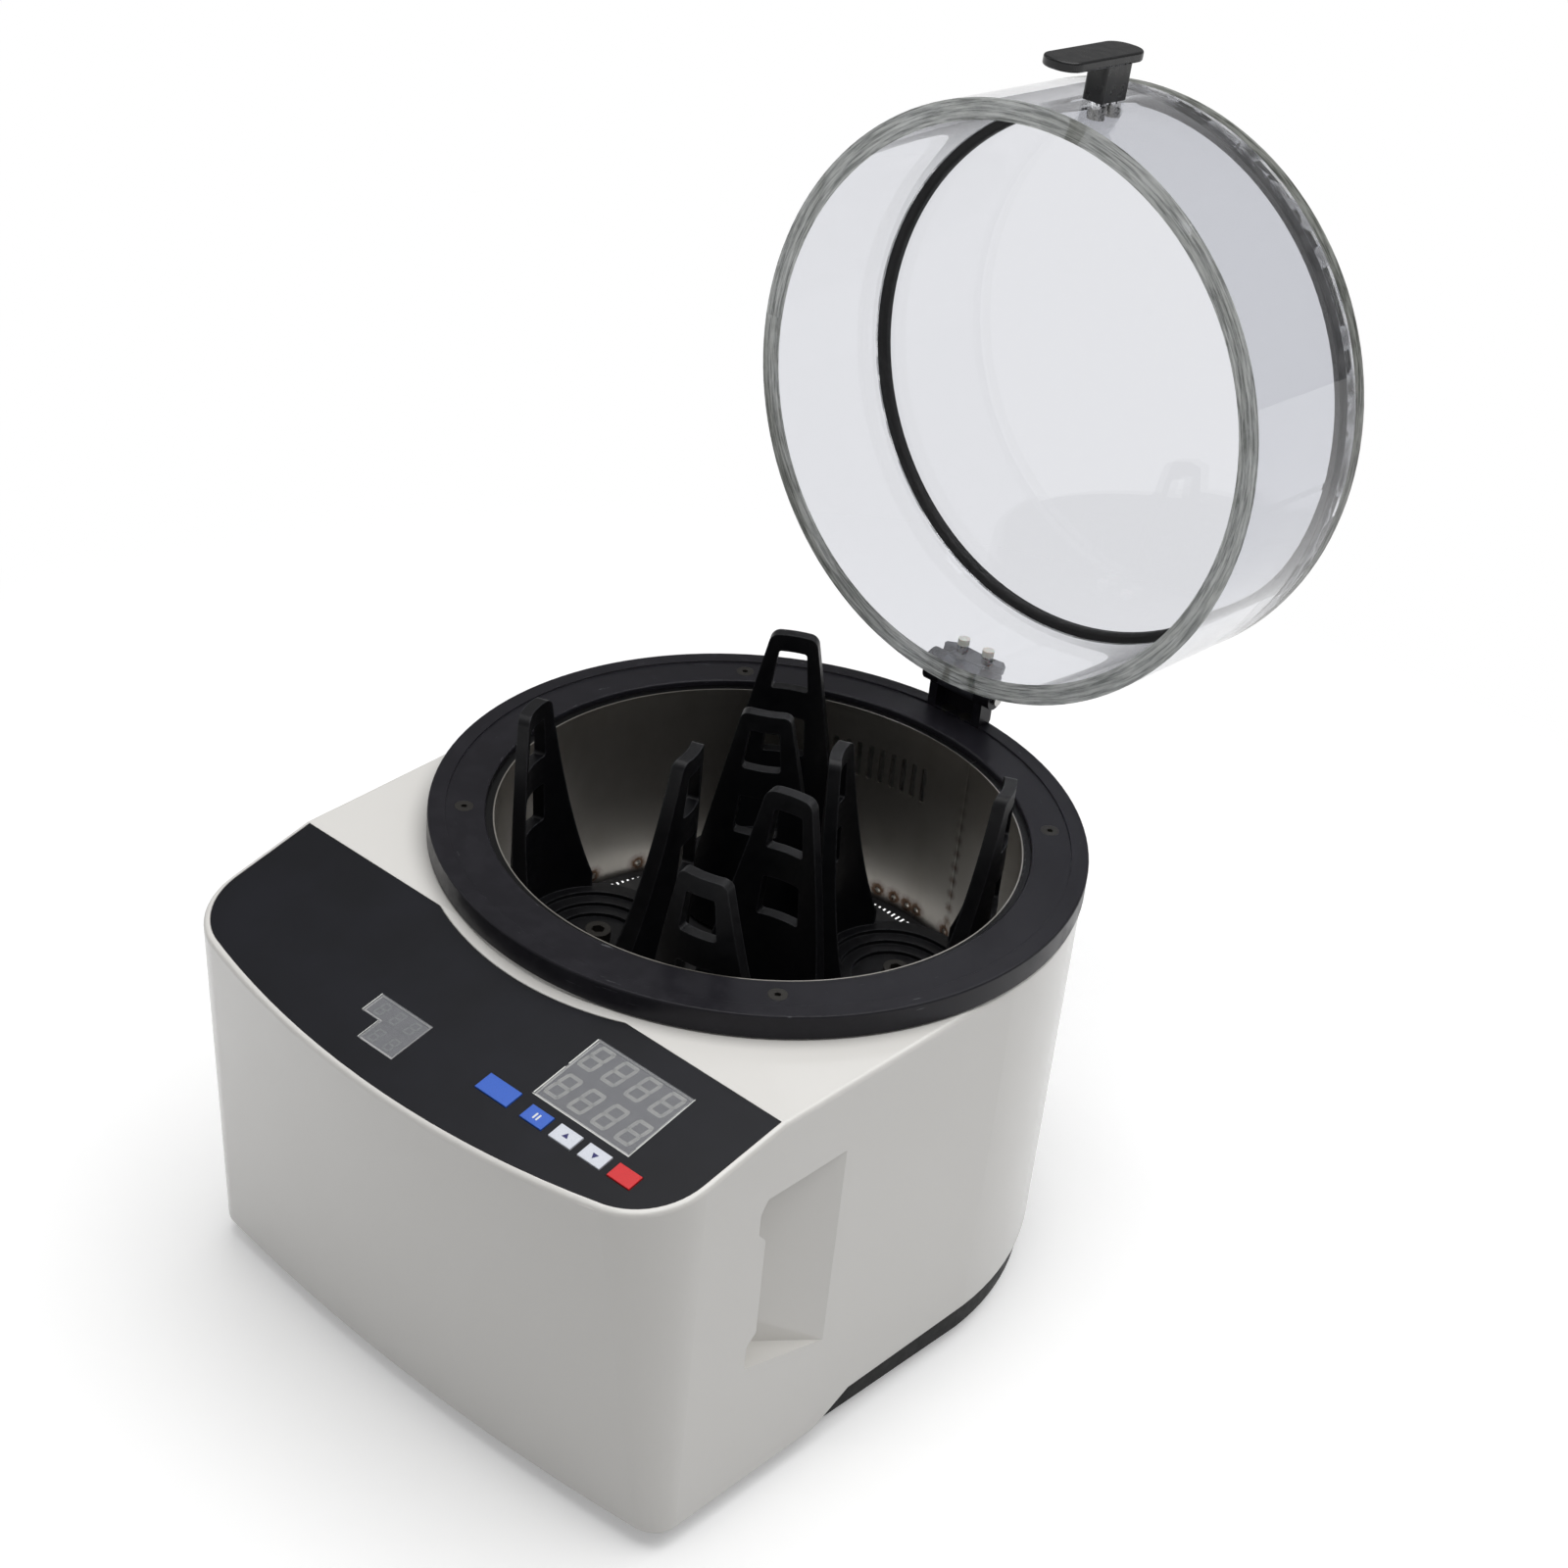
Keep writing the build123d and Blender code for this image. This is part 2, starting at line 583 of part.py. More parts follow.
# Flange ring: outer band on the shell's collar and a thin lip over the bowl's collar
with BuildPart() as flange_ring:
    with BuildSketch(Plane.XZ):
        with BuildLine():
            Polyline((ring_bore, lid_seat), (lid_seat_radius, lid_seat), (lid_seat_radius, ring_top),
                     (ring_radius, ring_top), (ring_radius, ring_bottom), (shell_opening, ring_bottom),
                     (shell_opening, lip_underside), (ring_bore, lip_underside), close=True)
        make_face()
    revolve(axis=Axis.Z)
    levels = flange_ring.edges().filter_by(GeomType.CIRCLE).group_by(Axis.Z)
    rim_edge, bore_edge = levels[-1].sort_by(SortBy.RADIUS)[-1], levels[-2].sort_by(SortBy.RADIUS)[0]
    fillet([rim_edge, bore_edge], ring_edge_round)
    with BuildSketch(Plane.XY.offset(ring_bottom)):
        with Locations((0, shell_opening)):
            Rectangle(block_web_width + 2 * seat_gap, overrun, align=(Align.CENTER, Align.MIN))
    extrude(amount=ring_thickness + overrun, mode=Mode.SUBTRACT)
    with Locations(Plane.XY.offset(lid_seat)):
        with PolarLocations(screw_circle_radius, 4, screw_start):
            CounterSinkHole(screw_radius + running_gap, screw_head_radius + running_gap, ring_lip)
finish(flange_ring, "flange_ring")

# Four countersunk ring screws
with BuildPart() as flange_screws:
    with Locations(Plane.XY.offset(lid_seat)):
        with PolarLocations(screw_circle_radius, 4, screw_start):
            Cone(screw_radius, screw_head_radius, screw_head_radius - screw_radius,
                 align=(Align.CENTER, Align.CENTER, Align.MAX))
            Cylinder(screw_radius, screw_length, align=(Align.CENTER, Align.CENTER, Align.MAX))
    with BuildSketch(Plane.XY.offset(lid_seat)):
        with PolarLocations(screw_circle_radius, 4, screw_start):
            RegularPolygon(screw_hex, 6)
    extrude(amount=-screw_hex_depth, mode=Mode.SUBTRACT)
finish(flange_screws, "flange_screws")

# Support ring on four pillars; the lower pillars carry the drive plate, the upper ones stand on it
with BuildPart() as support_ring:
    with BuildSketch(Plane.XY.offset(support_bottom)):
        Circle(shell_opening - seat_gap)
        Circle(support_inner, mode=Mode.SUBTRACT)
        with PolarLocations(screw_circle_radius, 4, screw_start):
            Circle(screw_radius + running_gap, mode=Mode.SUBTRACT)
    extrude(amount=support_thickness)
finish(support_ring, "support_ring")

with BuildPart() as support_pillars:
    with BuildSketch(Plane.XY.offset(foot_height + pan_wall)):
        with PolarLocations(screw_circle_radius, 4, screw_start):
            Circle(pillar_radius)
    extrude(amount=plate_bottom - foot_height - pan_wall)
    with BuildSketch(Plane.XY.offset(plate_top)):
        with PolarLocations(screw_circle_radius, 4, screw_start):
            Circle(pillar_radius)
    extrude(amount=support_bottom - plate_top)
    with BuildSketch(Plane.XY.offset(support_bottom)):
        with PolarLocations(screw_circle_radius, 4, screw_start):
            Circle(screw_radius + running_gap)
    extrude(amount=-tapped_depth, mode=Mode.SUBTRACT)
finish(support_pillars, "support_pillars")

# Bowl liner: plain rolled tube with a row of vents high at the rear
with BuildPart() as bowl_liner:
    with BuildSketch(Plane.XY.offset(foot_ring_top)):
        Circle(liner_radius + liner_wall)
        Circle(liner_radius, mode=Mode.SUBTRACT)
    extrude(amount=liner_top - foot_ring_top)
    for vent in range(vent_count):
        angle = vent_start + vent * vent_pitch
        outward = Plane(origin=(*polar(liner_radius - overrun, angle), liner_top - vent_drop),
                        x_dir=ground, z_dir=(*polar(1, angle), 0))
        with BuildSketch(outward):
            SlotOverall(vent_length, vent_width)
        extrude(amount=2 * overrun, mode=Mode.SUBTRACT)
finish(bowl_liner, "bowl_liner")

# Collar welded round the tube's top, which rests on the support ring
with BuildPart() as bowl_collar:
    with BuildSketch(Plane.XY.offset(support_top)):
        Circle(shell_opening - seat_gap)
        Circle(liner_radius + liner_wall + running_gap, mode=Mode.SUBTRACT)
        with PolarLocations(screw_circle_radius, 4, screw_start):
            Circle(screw_radius + running_gap, mode=Mode.SUBTRACT)
    extrude(amount=liner_collar)
finish(bowl_collar, "bowl_collar")

# Foot ring welded under the tube, with a ledge that carries the floor
with BuildPart() as bowl_foot:
    outer, ledge = liner_radius + liner_wall, liner_radius - foot_ring_ledge
    floor_underside = bowl_floor_top - bowl_floor_thickness
    with BuildSketch(Plane.XZ):
        with BuildLine():
            Polyline((liner_radius, foot_ring_top), (outer, foot_ring_top), (outer, foot_ring_bottom),
                     (ledge, foot_ring_bottom), (ledge, floor_underside), (liner_radius, floor_underside),
                     close=True)
        make_face()
    revolve(axis=Axis.Z)
finish(bowl_foot, "bowl_foot")

# Bowl floor with a ring of radial slots
with BuildPart() as bowl_floor:
    with BuildSketch(Plane.XY.offset(bowl_floor_top - bowl_floor_thickness)):
        Circle(liner_radius - seat_gap)
        Circle(housing_tube_radius + running_gap, mode=Mode.SUBTRACT)
        with PolarLocations(slot_outer - slot_length / 2, slot_count):
            Rectangle(slot_length, slot_width, mode=Mode.SUBTRACT)
    extrude(amount=bowl_floor_thickness)
finish(bowl_floor, "bowl_floor")

# Base pan and its rubber feet
with BuildPart() as base_pan:
    for level, draw_in in ((foot_height, 0), (foot_height + pan_wall, pan_wall)):
        corner_inset, front_inset = pan_inset_corner + draw_in, pan_inset_front + draw_in
        add(plan_outline(level, rear_radius - pan_inset_rear - draw_in, half_width - corner_inset,
                         side_length - corner_inset, bottom_front - front_inset, bottom_rounding - draw_in))
        extrude(amount=pan_height, mode=Mode.SUBTRACT if draw_in else Mode.ADD)
finish(base_pan, "base_pan")

with BuildPart() as feet:
    with BuildSketch(Plane.XY.offset(foot_height)):
        rear_x, rear_y = polar(rear_radius - foot_rear_inset, foot_rear_angle)
        front_x, front_y = half_width - foot_corner_inset, foot_front_inset - side_length
        with Locations((rear_x, rear_y), (-rear_x, rear_y), (front_x, front_y), (-front_x, front_y)):
            Circle(foot_radius)
    extrude(amount=-foot_height, taper=foot_taper)
finish(feet, "feet")

# Drive plate: round under the bowl, with a tongue under the motor
with BuildPart() as drive_plate:
    with BuildSketch(Plane.XY.offset(plate_bottom)):
        Circle(plate_radius)
        Rectangle(plate_tongue_width, motor_y + motor_radius, align=(Align.CENTER, Align.MAX))
        Circle(shaft_collar_radius, mode=Mode.SUBTRACT)
        with Locations((0, -motor_y)):
            Circle(motor_shaft_hole, mode=Mode.SUBTRACT)
    extrude(amount=plate_thickness)
finish(drive_plate, "drive_plate")

# Bearing housing: flanged tube through the bowl floor that carries the sun gear on its top
with BuildPart() as bearing_housing:
    seat = bearing_outer + press_gap
    low_seat, high_seat = plate_top + bearing_height, sun_bottom - bearing_height
    with BuildSketch(Plane.XZ):
        with BuildLine():
            Polyline((seat, plate_top), (housing_flange_radius, plate_top),
                     (housing_flange_radius, plate_top + housing_flange),
                     (housing_tube_radius, plate_top + housing_flange), (housing_tube_radius, sun_bottom),
                     (seat, sun_bottom), (seat, high_seat), (housing_waist, high_seat),
                     (housing_waist, low_seat), (seat, low_seat), close=True)
        make_face()
    revolve(axis=Axis.Z)
finish(bearing_housing, "bearing_housing")

with BuildPart() as main_bearings:
    for level in (plate_top, sun_bottom - bearing_height):
        add(bearing((0, 0), level, shaft_radius + running_gap, bearing_outer, bearing_height))
finish(main_bearings, "main_bearings")

# Fixed sun gear
with BuildPart() as sun_gear:
    with BuildSketch(Plane.XY.offset(sun_bottom)):
        add(gear_outline(sun_teeth, 0))
        Circle(sun_bore, mode=Mode.SUBTRACT)
    extrude(amount=gear_thickness)
finish(sun_gear, "sun_gear")

# Turntable with a bearing hole at each station, on the collar of the main shaft
with BuildPart() as turntable_disc:
    with BuildSketch(Plane.XY.offset(table_bottom)):
        Circle(turntable_radius)
        Circle(shaft_radius + press_gap, mode=Mode.SUBTRACT)
        with Locations(*[polar(station_radius, angle) for angle in station_angles]):
            Circle(planet_bearing_outer + press_gap, mode=Mode.SUBTRACT)
    extrude(amount=turntable_thickness)
    chamfer(turntable_disc.edges().filter_by(GeomType.CIRCLE).group_by(SortBy.RADIUS)[-1], turntable_edge)
finish(turntable_disc, "turntable_disc")

with BuildPart() as planet_bearings:
    for angle in station_angles:
        add(bearing(polar(station_radius, angle), table_bottom, planet_shaft_radius + running_gap,
                    planet_bearing_outer, turntable_thickness))
finish(planet_bearings, "planet_bearings")

# Main shaft: pulley seat, journal, collar under the turntable and a stub for the nut
with BuildPart() as main_shaft:
    collar_reach, collar_low = shaft_collar_radius - running_gap, sun_bottom + seat_gap
    shaft_top = table_top + shaft_nut_length
    with BuildSketch(Plane.XZ):
        with BuildLine():
            Polyline((0, shaft_low), (shaft_radius, shaft_low), (shaft_radius, collar_low),
                     (collar_reach, collar_low), (collar_reach, table_bottom), (shaft_radius, table_bottom),
                     (shaft_radius, table_top), (shaft_end_radius, table_top), (shaft_end_radius, shaft_top),
                     (0, shaft_top), close=True)
        make_face()
    revolve(axis=Axis.Z)
finish(main_shaft, "main_shaft")

with BuildPart() as hub_nut:
    with BuildSketch(Plane.XY.offset(table_top)):
        RegularPolygon(nut_radius, 6)
        Circle(shaft_end_radius + press_gap, mode=Mode.SUBTRACT)
    extrude(amount=nut_height)
finish(hub_nut, "hub_nut")


def pulley(centre_y, radius, bore, hub):
    """Flat belt pulley with guide flanges; the large one has a web and a hub."""
    centre = (0, -centre_y)
    with BuildPart() as wheel:
        with BuildSketch(Plane.XY.offset(pulley_low)):
            with Locations(centre):
                Circle(radius)
                Circle(bore, mode=Mode.SUBTRACT)
        extrude(amount=pulley_width)
        for level in (pulley_low, pulley_top - pulley_flange):
            with BuildSketch(Plane.XY.offset(level)):
                with Locations(centre):
                    Circle(radius + pulley_flange_rise)
                    Circle(radius - pulley_flange, mode=Mode.SUBTRACT)
            extrude(amount=pulley_flange)
        if radius - pulley_rim > hub:
            for level, away in ((pulley_low, 1), (pulley_top, -1)):
                with BuildSketch(Plane.XY.offset(level)):
                    with Locations(centre):
                        Circle(radius - pulley_rim)
                        Circle(hub, mode=Mode.SUBTRACT)
                extrude(amount=away * (pulley_width - pulley_web) / 2, mode=Mode.SUBTRACT)
    return wheel


finish(pulley(0, pulley_radius, shaft_radius + press_gap, pulley_hub), "main_pulley")
finish(pulley(motor_y, motor_pulley_radius, motor_shaft_radius + press_gap, pulley_hub), "motor_pulley")

# Flat belt, a closed loop with its two straight runs tangent to both pulleys
with BuildPart() as drive_belt:
    with BuildSketch(Plane.XY.offset(pulley_low + pulley_flange + seat_gap)):
        add(belt_outline(belt_thickness))
        add(belt_outline(0), mode=Mode.SUBTRACT)
    extrude(amount=pulley_width - 2 * pulley_flange - 2 * seat_gap)
finish(drive_belt, "drive_belt")

# Motor on the tongue of the drive plate, with its shaft down to the small pulley
with BuildPart() as motor_body:
    bore, waist = motor_shaft_radius + running_gap, motor_radius - motor_end_step
    end_low = motor_height - motor_end_height
    with BuildSketch(Plane(origin=(0, -motor_y, plate_top), x_dir=(1, 0, 0), z_dir=(0, -1, 0))):
        with BuildLine():
            Polyline((0, motor_bore_depth), (bore, motor_bore_depth), (bore, 0), (motor_radius, 0),
                     (motor_radius, motor_end_height), (waist, motor_end_height), (waist, end_low),
                     (motor_radius, end_low), (motor_radius, motor_height), (0, motor_height), close=True)
        make_face()
    revolve(axis=Axis(origin=(0, -motor_y, 0), direction=ground))
finish(motor_body, "motor_body")

with BuildPart() as motor_shaft:
    with BuildSketch(Plane.XY.offset(pulley_low)):
        with Locations((0, -motor_y)):
            Circle(motor_shaft_radius)
    extrude(amount=plate_top + motor_bore_depth - seat_gap - pulley_low)
finish(motor_shaft, "motor_shaft")

# Finned motor controller behind the bearing housing
with BuildPart() as motor_controller:
    with BuildSketch(Plane.XY.offset(plate_top)):
        with Locations((0, controller_y)):
            Rectangle(controller_width, controller_length)
    extrude(amount=controller_height)
    with BuildSketch(Plane.XY.offset(plate_top + controller_height)):
        with Locations((0, controller_y)):
            with GridLocations((controller_width - fin_width) / (fin_count - 1), 0, fin_count, 1):
                Rectangle(fin_width, controller_length)
    extrude(amount=fin_height)
finish(motor_controller, "motor_controller")

# Planet gears on their shafts, jar holders and their centre screws, one set for each station
for number, (station_angle, pair_angle) in enumerate(zip(station_angles, pair_angles), 1):
    centre = polar(station_radius, station_angle)
    across = polar(1, pair_angle)
    pitch_turn = 180 / planet_teeth
    sun_share = station_angle * sun_teeth / 360
    phase = station_angle + 180 + (pitch_turn if abs(sun_share - round(sun_share)) < 0.25 else 0)

    with BuildPart() as planet_gear:
        with BuildSketch(Plane(origin=(*centre, sun_bottom), z_dir=ground)):
            add(gear_outline(planet_teeth, phase))
        extrude(amount=gear_thickness)
        with BuildSketch(Plane(origin=(*centre, sun_bottom - planet_shaft_below), z_dir=ground)):
            Circle(planet_shaft_radius)
        extrude(amount=holder_bottom + planet_stub - sun_bottom + planet_shaft_below)
        with BuildSketch(Plane(origin=(*centre, table_top + seat_gap), z_dir=ground)):
            Circle(planet_spacer_radius)
        extrude(amount=planet_spacer - seat_gap)
        with BuildSketch(Plane(origin=(*centre, holder_bottom + planet_stub), z_dir=ground)):
            Circle(centre_screw_radius + running_gap)
        extrude(amount=-(centre_screw_reach - holder_floor + planet_stub), mode=Mode.SUBTRACT)
    finish(planet_gear, f"planet_gear_{number}")

    with BuildPart() as uprights:
        with BuildSketch(Plane(origin=(*centre, holder_bottom), z_dir=ground)):
            Circle(holder_radius)
            Circle(holder_radius - holder_wall, mode=Mode.SUBTRACT)
        extrude(amount=upright_top - holder_bottom)
        with BuildSketch(Plane(origin=(*centre, 0), x_dir=(-across[1], across[0], 0), z_dir=(*across, 0))):
            spread = upright_spread_share * holder_radius
            with BuildLine():
                Polyline((-spread, holder_bottom), (-spread, upright_shoulder),
                         (-upright_half_top, upright_top), (upright_half_top, upright_top),
                         (spread, upright_shoulder), (spread, holder_bottom), close=True)
            face = make_face()
            fillet(face.vertices().group_by(Axis.Z)[-1], upright_corner)
            for drop, half_top, half_bottom in zip(window_drops, window_half_tops, window_half_bottoms):
                with Locations((0, upright_top - drop - window_height / 2)):
                    add(window_outline(half_top, half_bottom), mode=Mode.SUBTRACT)
        extrude(amount=holder_radius + overrun, both=True, mode=Mode.INTERSECT)

    with BuildPart() as jar_holder:
        rim = holder_radius - holder_wall / 2
        steps = [(0, holder_floor)]
        for count in range(seat_count):
            radius = holder_radius - seat_inset - (seat_count - 1 - count) * seat_width
            level = holder_floor + count * seat_step
            steps += [(radius, level), (radius, level + seat_step)]
        steps += [(rim, steps[-1][1]), (holder_radius, holder_floor), (holder_radius, 0), (0, 0)]
        along = (across[1], -across[0], 0)
        with BuildSketch(Plane(origin=(*centre, holder_bottom), x_dir=(*across, 0), z_dir=along)):
            with BuildLine():
                Polyline(*steps, close=True)
            make_face()
        revolve(axis=Axis(origin=(*centre, 0), direction=ground))
        add(uprights.part)
        with BuildSketch(Plane(origin=(*centre, holder_bottom), z_dir=ground)):
            Circle(planet_shaft_radius + press_gap)
        extrude(amount=planet_stub, mode=Mode.SUBTRACT)
        with BuildSketch(Plane(origin=(*centre, holder_bottom), z_dir=ground)):
            Circle(centre_screw_radius + running_gap)
        extrude(amount=holder_floor, mode=Mode.SUBTRACT)
    finish(jar_holder, f"jar_holder_{number}")

    with BuildPart() as holder_screw:
        with BuildSketch(Plane(origin=(*centre, holder_floor_top), z_dir=ground)):
            Circle(centre_head_radius)
        extrude(amount=centre_head_height)
        with BuildSketch(Plane(origin=(*centre, holder_floor_top), z_dir=ground)):
            Circle(centre_screw_radius)
        extrude(amount=-centre_screw_reach)
        with BuildSketch(Plane(origin=(*centre, holder_floor_top + centre_head_height), z_dir=ground)):
            RegularPolygon(centre_hex, 6)
        extrude(amount=-centre_hex_depth, mode=Mode.SUBTRACT)
    finish(holder_screw, f"holder_screw_{number}")

# Lid, drawn on planes that follow the open lid: across, outwards from the hinge, along the tube
lid_turn = math.radians(lid_open_angle)
lid_axis = Vector(0, math.sin(lid_turn), math.cos(lid_turn))
lid_out = Vector(0, math.cos(lid_turn), -math.sin(lid_turn))
rim_along = lid_seat + lid_gap - hinge_z
tube_out = -hinge_y


def lid_point(across, out, along):
    """Point in the model from the lid's own directions, measured from the hinge axis."""
    return Vector(across, hinge_y, hinge_z) + lid_out * out + lid_axis * along


def lid_level(out, along):
    """Plane square to the tube's axis."""
    return Plane(origin=lid_point(0, out, along), x_dir=(1, 0, 0), z_dir=lid_axis)


def lid_face(across, out, along):
    """Plane that looks outwards from the hinge, for holes through the wall."""
    return Plane(origin=lid_point(across, out, along), x_dir=(1, 0, 0), z_dir=lid_out)


inner_radius = lid_radius - lid_wall
leaf_holes = [(side * leaf_screw_x, leaf_screw_height) for side in (1, -1)]
handle_holes = [(0, rim_along + height) for height in handle_screw_heights]

with BuildPart() as lid_tube:
    with BuildSketch(lid_level(tube_out, rim_along)):
        Circle(lid_radius)
        Circle(inner_radius, mode=Mode.SUBTRACT)
    extrude(amount=lid_height - lid_disc_thickness)
    for across, along in leaf_holes:
        with BuildSketch(lid_face(across, tube_out + inner_radius - lid_wall, along)):
            Circle(leaf_screw_radius + running_gap)
        extrude(amount=3 * lid_wall, mode=Mode.SUBTRACT)
    for across, along in handle_holes:
        with BuildSketch(lid_face(across, tube_out - inner_radius + lid_wall, along)):
            Circle(handle_screw_radius + running_gap)
        extrude(amount=-3 * lid_wall, mode=Mode.SUBTRACT)
finish(lid_tube, "lid_tube")

with BuildPart() as lid_disc:
    with BuildSketch(lid_level(tube_out, rim_along + lid_height - lid_disc_thickness)):
        Circle(lid_radius)
    extrude(amount=lid_disc_thickness)
finish(lid_disc, "lid_disc")

with BuildPart() as lid_seal:
    with BuildSketch(lid_level(tube_out, rim_along + lid_height - lid_disc_thickness)):
        Circle(inner_radius - running_gap)
        Circle(inner_radius - gasket_width, mode=Mode.SUBTRACT)
    extrude(amount=-gasket_width)
    inner_edges = lid_seal.edges().filter_by(GeomType.CIRCLE).group_by(SortBy.RADIUS)[0]
    inner_edge = inner_edges.sort_by(Axis(lid_point(0, 0, 0), lid_axis))[0]
    fillet(inner_edge, gasket_round)
finish(lid_seal, "lid_seal")

# Hinge leaf on the lid's wall, with the middle knuckle
with BuildPart() as hinge_leaf:
    leaf_back = -hinge_offset + leaf_thickness
    with BuildSketch(lid_level(0, knuckle_radius + seat_gap)):
        with Locations((0, leaf_back)):
            Rectangle(leaf_width, 2 * knuckle_radius, align=(Align.CENTER, Align.MAX))
    extrude(amount=leaf_height - knuckle_radius - seat_gap)
    upright_edges = hinge_leaf.edges().filter_by(Axis(lid_point(0, 0, 0), lid_out))
    chamfer(upright_edges.group_by(Axis(lid_point(0, 0, 0), lid_axis))[-1], leaf_corner)
    with BuildSketch(lid_level(0, 0)):
        with Locations((0, leaf_back)):
            Rectangle(knuckle_width, 2 * knuckle_radius, align=(Align.CENTER, Align.MAX))
    extrude(amount=leaf_height)
    with BuildSketch(Plane(origin=lid_point(0, 0, 0), z_dir=(1, 0, 0))):
        Circle(knuckle_radius)
    extrude(amount=knuckle_width / 2, both=True)
    with BuildSketch(lid_level(tube_out, -overrun)):
        Circle(lid_radius)
    extrude(amount=leaf_height + 2 * overrun, mode=Mode.SUBTRACT)
    with BuildSketch(Plane(origin=lid_point(0, 0, 0), z_dir=(1, 0, 0))):
        Circle(pin_radius + running_gap)
    extrude(amount=knuckle_width, both=True, mode=Mode.SUBTRACT)
    for across, along in leaf_holes:
        with BuildSketch(lid_face(across, -2 * knuckle_radius, along)):
            Circle(leaf_screw_radius + running_gap)
        extrude(amount=3 * knuckle_radius, mode=Mode.SUBTRACT)
finish(hinge_leaf, "hinge_leaf")

# Nylon screws from inside the wall into the leaf
with BuildPart() as leaf_screws:
    side_reach = leaf_screw_x + leaf_head_radius
    head_seat = tube_out + math.sqrt(inner_radius ** 2 - side_reach ** 2) - running_gap
    for across, along in leaf_holes:
        with BuildSketch(lid_face(across, head_seat, along)):
            Circle(leaf_head_radius)
        extrude(amount=-leaf_head_height)
        with BuildSketch(lid_face(across, head_seat, along)):
            Circle(leaf_screw_radius)
        extrude(amount=leaf_back - head_seat - seat_gap)
finish(leaf_screws, "leaf_screws")

# Hinge block in the ring's notch, with the two outer knuckles and a wall behind its screws
with BuildPart() as hinge_block:
    web_front, web_rear = block_front + block_web_set_back, ring_radius + block_web_proud
    with BuildSketch(Plane.YZ):
        with BuildLine():
            Polyline((web_front, ring_bottom), (web_front, hinge_z), (web_rear, hinge_z),
                     (web_rear, ring_top), (ring_radius, ring_top), (ring_radius, ring_bottom), close=True)
        make_face()
    extrude(amount=block_web_width / 2, both=True)
    with BuildSketch(Plane.YZ):
        with Locations((hinge_y, hinge_z)):
            Circle(knuckle_radius)
    extrude(amount=block_width / 2, both=True)
    with BuildSketch(Plane.YZ):
        with Locations((hinge_y, hinge_z)):
            Circle(knuckle_radius + knuckle_gap)
            Rectangle(4 * knuckle_radius, hinge_rise, align=(Align.CENTER, Align.MIN))
        with Locations((web_rear - block_rear_wall, ring_top)):
            Rectangle(overrun, hinge_rise, align=(Align.MAX, Align.MIN))
    extrude(amount=knuckle_width / 2 + seat_gap, both=True, mode=Mode.SUBTRACT)
    with BuildSketch(Plane.YZ):
        with Locations((hinge_y, hinge_z)):
            Circle(pin_radius + press_gap)
    extrude(amount=block_width, both=True, mode=Mode.SUBTRACT)
    with BuildSketch(Plane.XY.offset(ring_top)):
        with Locations(*block_screws):
            Circle(block_screw_radius + running_gap)
    extrude(amount=-ring_thickness, mode=Mode.SUBTRACT)
    with BuildSketch(Plane.XY.offset(ring_top)):
        with Locations(*block_screws):
            Circle(block_head_radius + running_gap)
    extrude(amount=-block_head_height, mode=Mode.SUBTRACT)
finish(hinge_block, "hinge_block")

with BuildPart() as hinge_block_screws:
    with BuildSketch(Plane.XY.offset(ring_top - block_head_height)):
        with Locations(*block_screws):
            Circle(block_head_radius)
    extrude(amount=block_head_height)
    with BuildSketch(Plane.XY.offset(ring_top - block_head_height)):
        with Locations(*block_screws):
            Circle(block_screw_radius)
    extrude(amount=-(ring_thickness - block_head_height + collar_drop))
finish(hinge_block_screws, "hinge_block_screws")

with BuildPart() as hinge_pin:
    with BuildSketch(Plane(origin=(0, hinge_y, hinge_z), z_dir=(1, 0, 0))):
        Circle(pin_radius)
    extrude(amount=block_width / 2 + pin_proud, both=True)
finish(hinge_pin, "hinge_pin")

# Handle: a round-ended grip plate on a stem, which stands on the tube's front
with BuildPart() as handle:
    with BuildSketch(lid_face(0, tube_out - lid_radius - stem_reach, rim_along + grip_low + grip_height / 2)):
        RectangleRounded(grip_width, grip_height, grip_round)
    extrude(amount=-grip_thickness)
    across_edges = handle.edges().filter_by(Axis(lid_point(0, 0, 0), lid_out), reverse=True)
    fillet(across_edges, grip_edge_round)
    with BuildSketch(lid_face(0, tube_out - inner_radius, rim_along + stem_low + stem_height / 2)):
        RectangleRounded(stem_width, stem_height, stem_round)
    extrude(amount=-(lid_wall + stem_reach + grip_thickness / 2))
    with BuildSketch(lid_level(tube_out, rim_along)):
        Circle(lid_radius)
    extrude(amount=lid_height, mode=Mode.SUBTRACT)
    for across, along in handle_holes:
        with BuildSketch(lid_face(across, tube_out - inner_radius, along)):
            Circle(handle_screw_radius + running_gap)
        extrude(amount=-(lid_wall + handle_screw_bite + seat_gap), mode=Mode.SUBTRACT)
finish(handle, "handle")

with BuildPart() as handle_screws:
    head_seat = tube_out - math.sqrt(inner_radius ** 2 - handle_head_radius ** 2) + running_gap
    for across, along in handle_holes:
        with BuildSketch(lid_face(across, head_seat, along)):
            Circle(handle_head_radius)
        extrude(amount=handle_head_height)
        with BuildSketch(lid_face(across, head_seat, along)):
            Circle(handle_screw_radius)
        extrude(amount=-(lid_wall + handle_screw_bite))
        with BuildSketch(lid_face(across, head_seat + handle_head_height, along)):
            RegularPolygon(handle_hex, 6)
        extrude(amount=-handle_hex_depth, mode=Mode.SUBTRACT)
finish(handle_screws, "handle_screws")

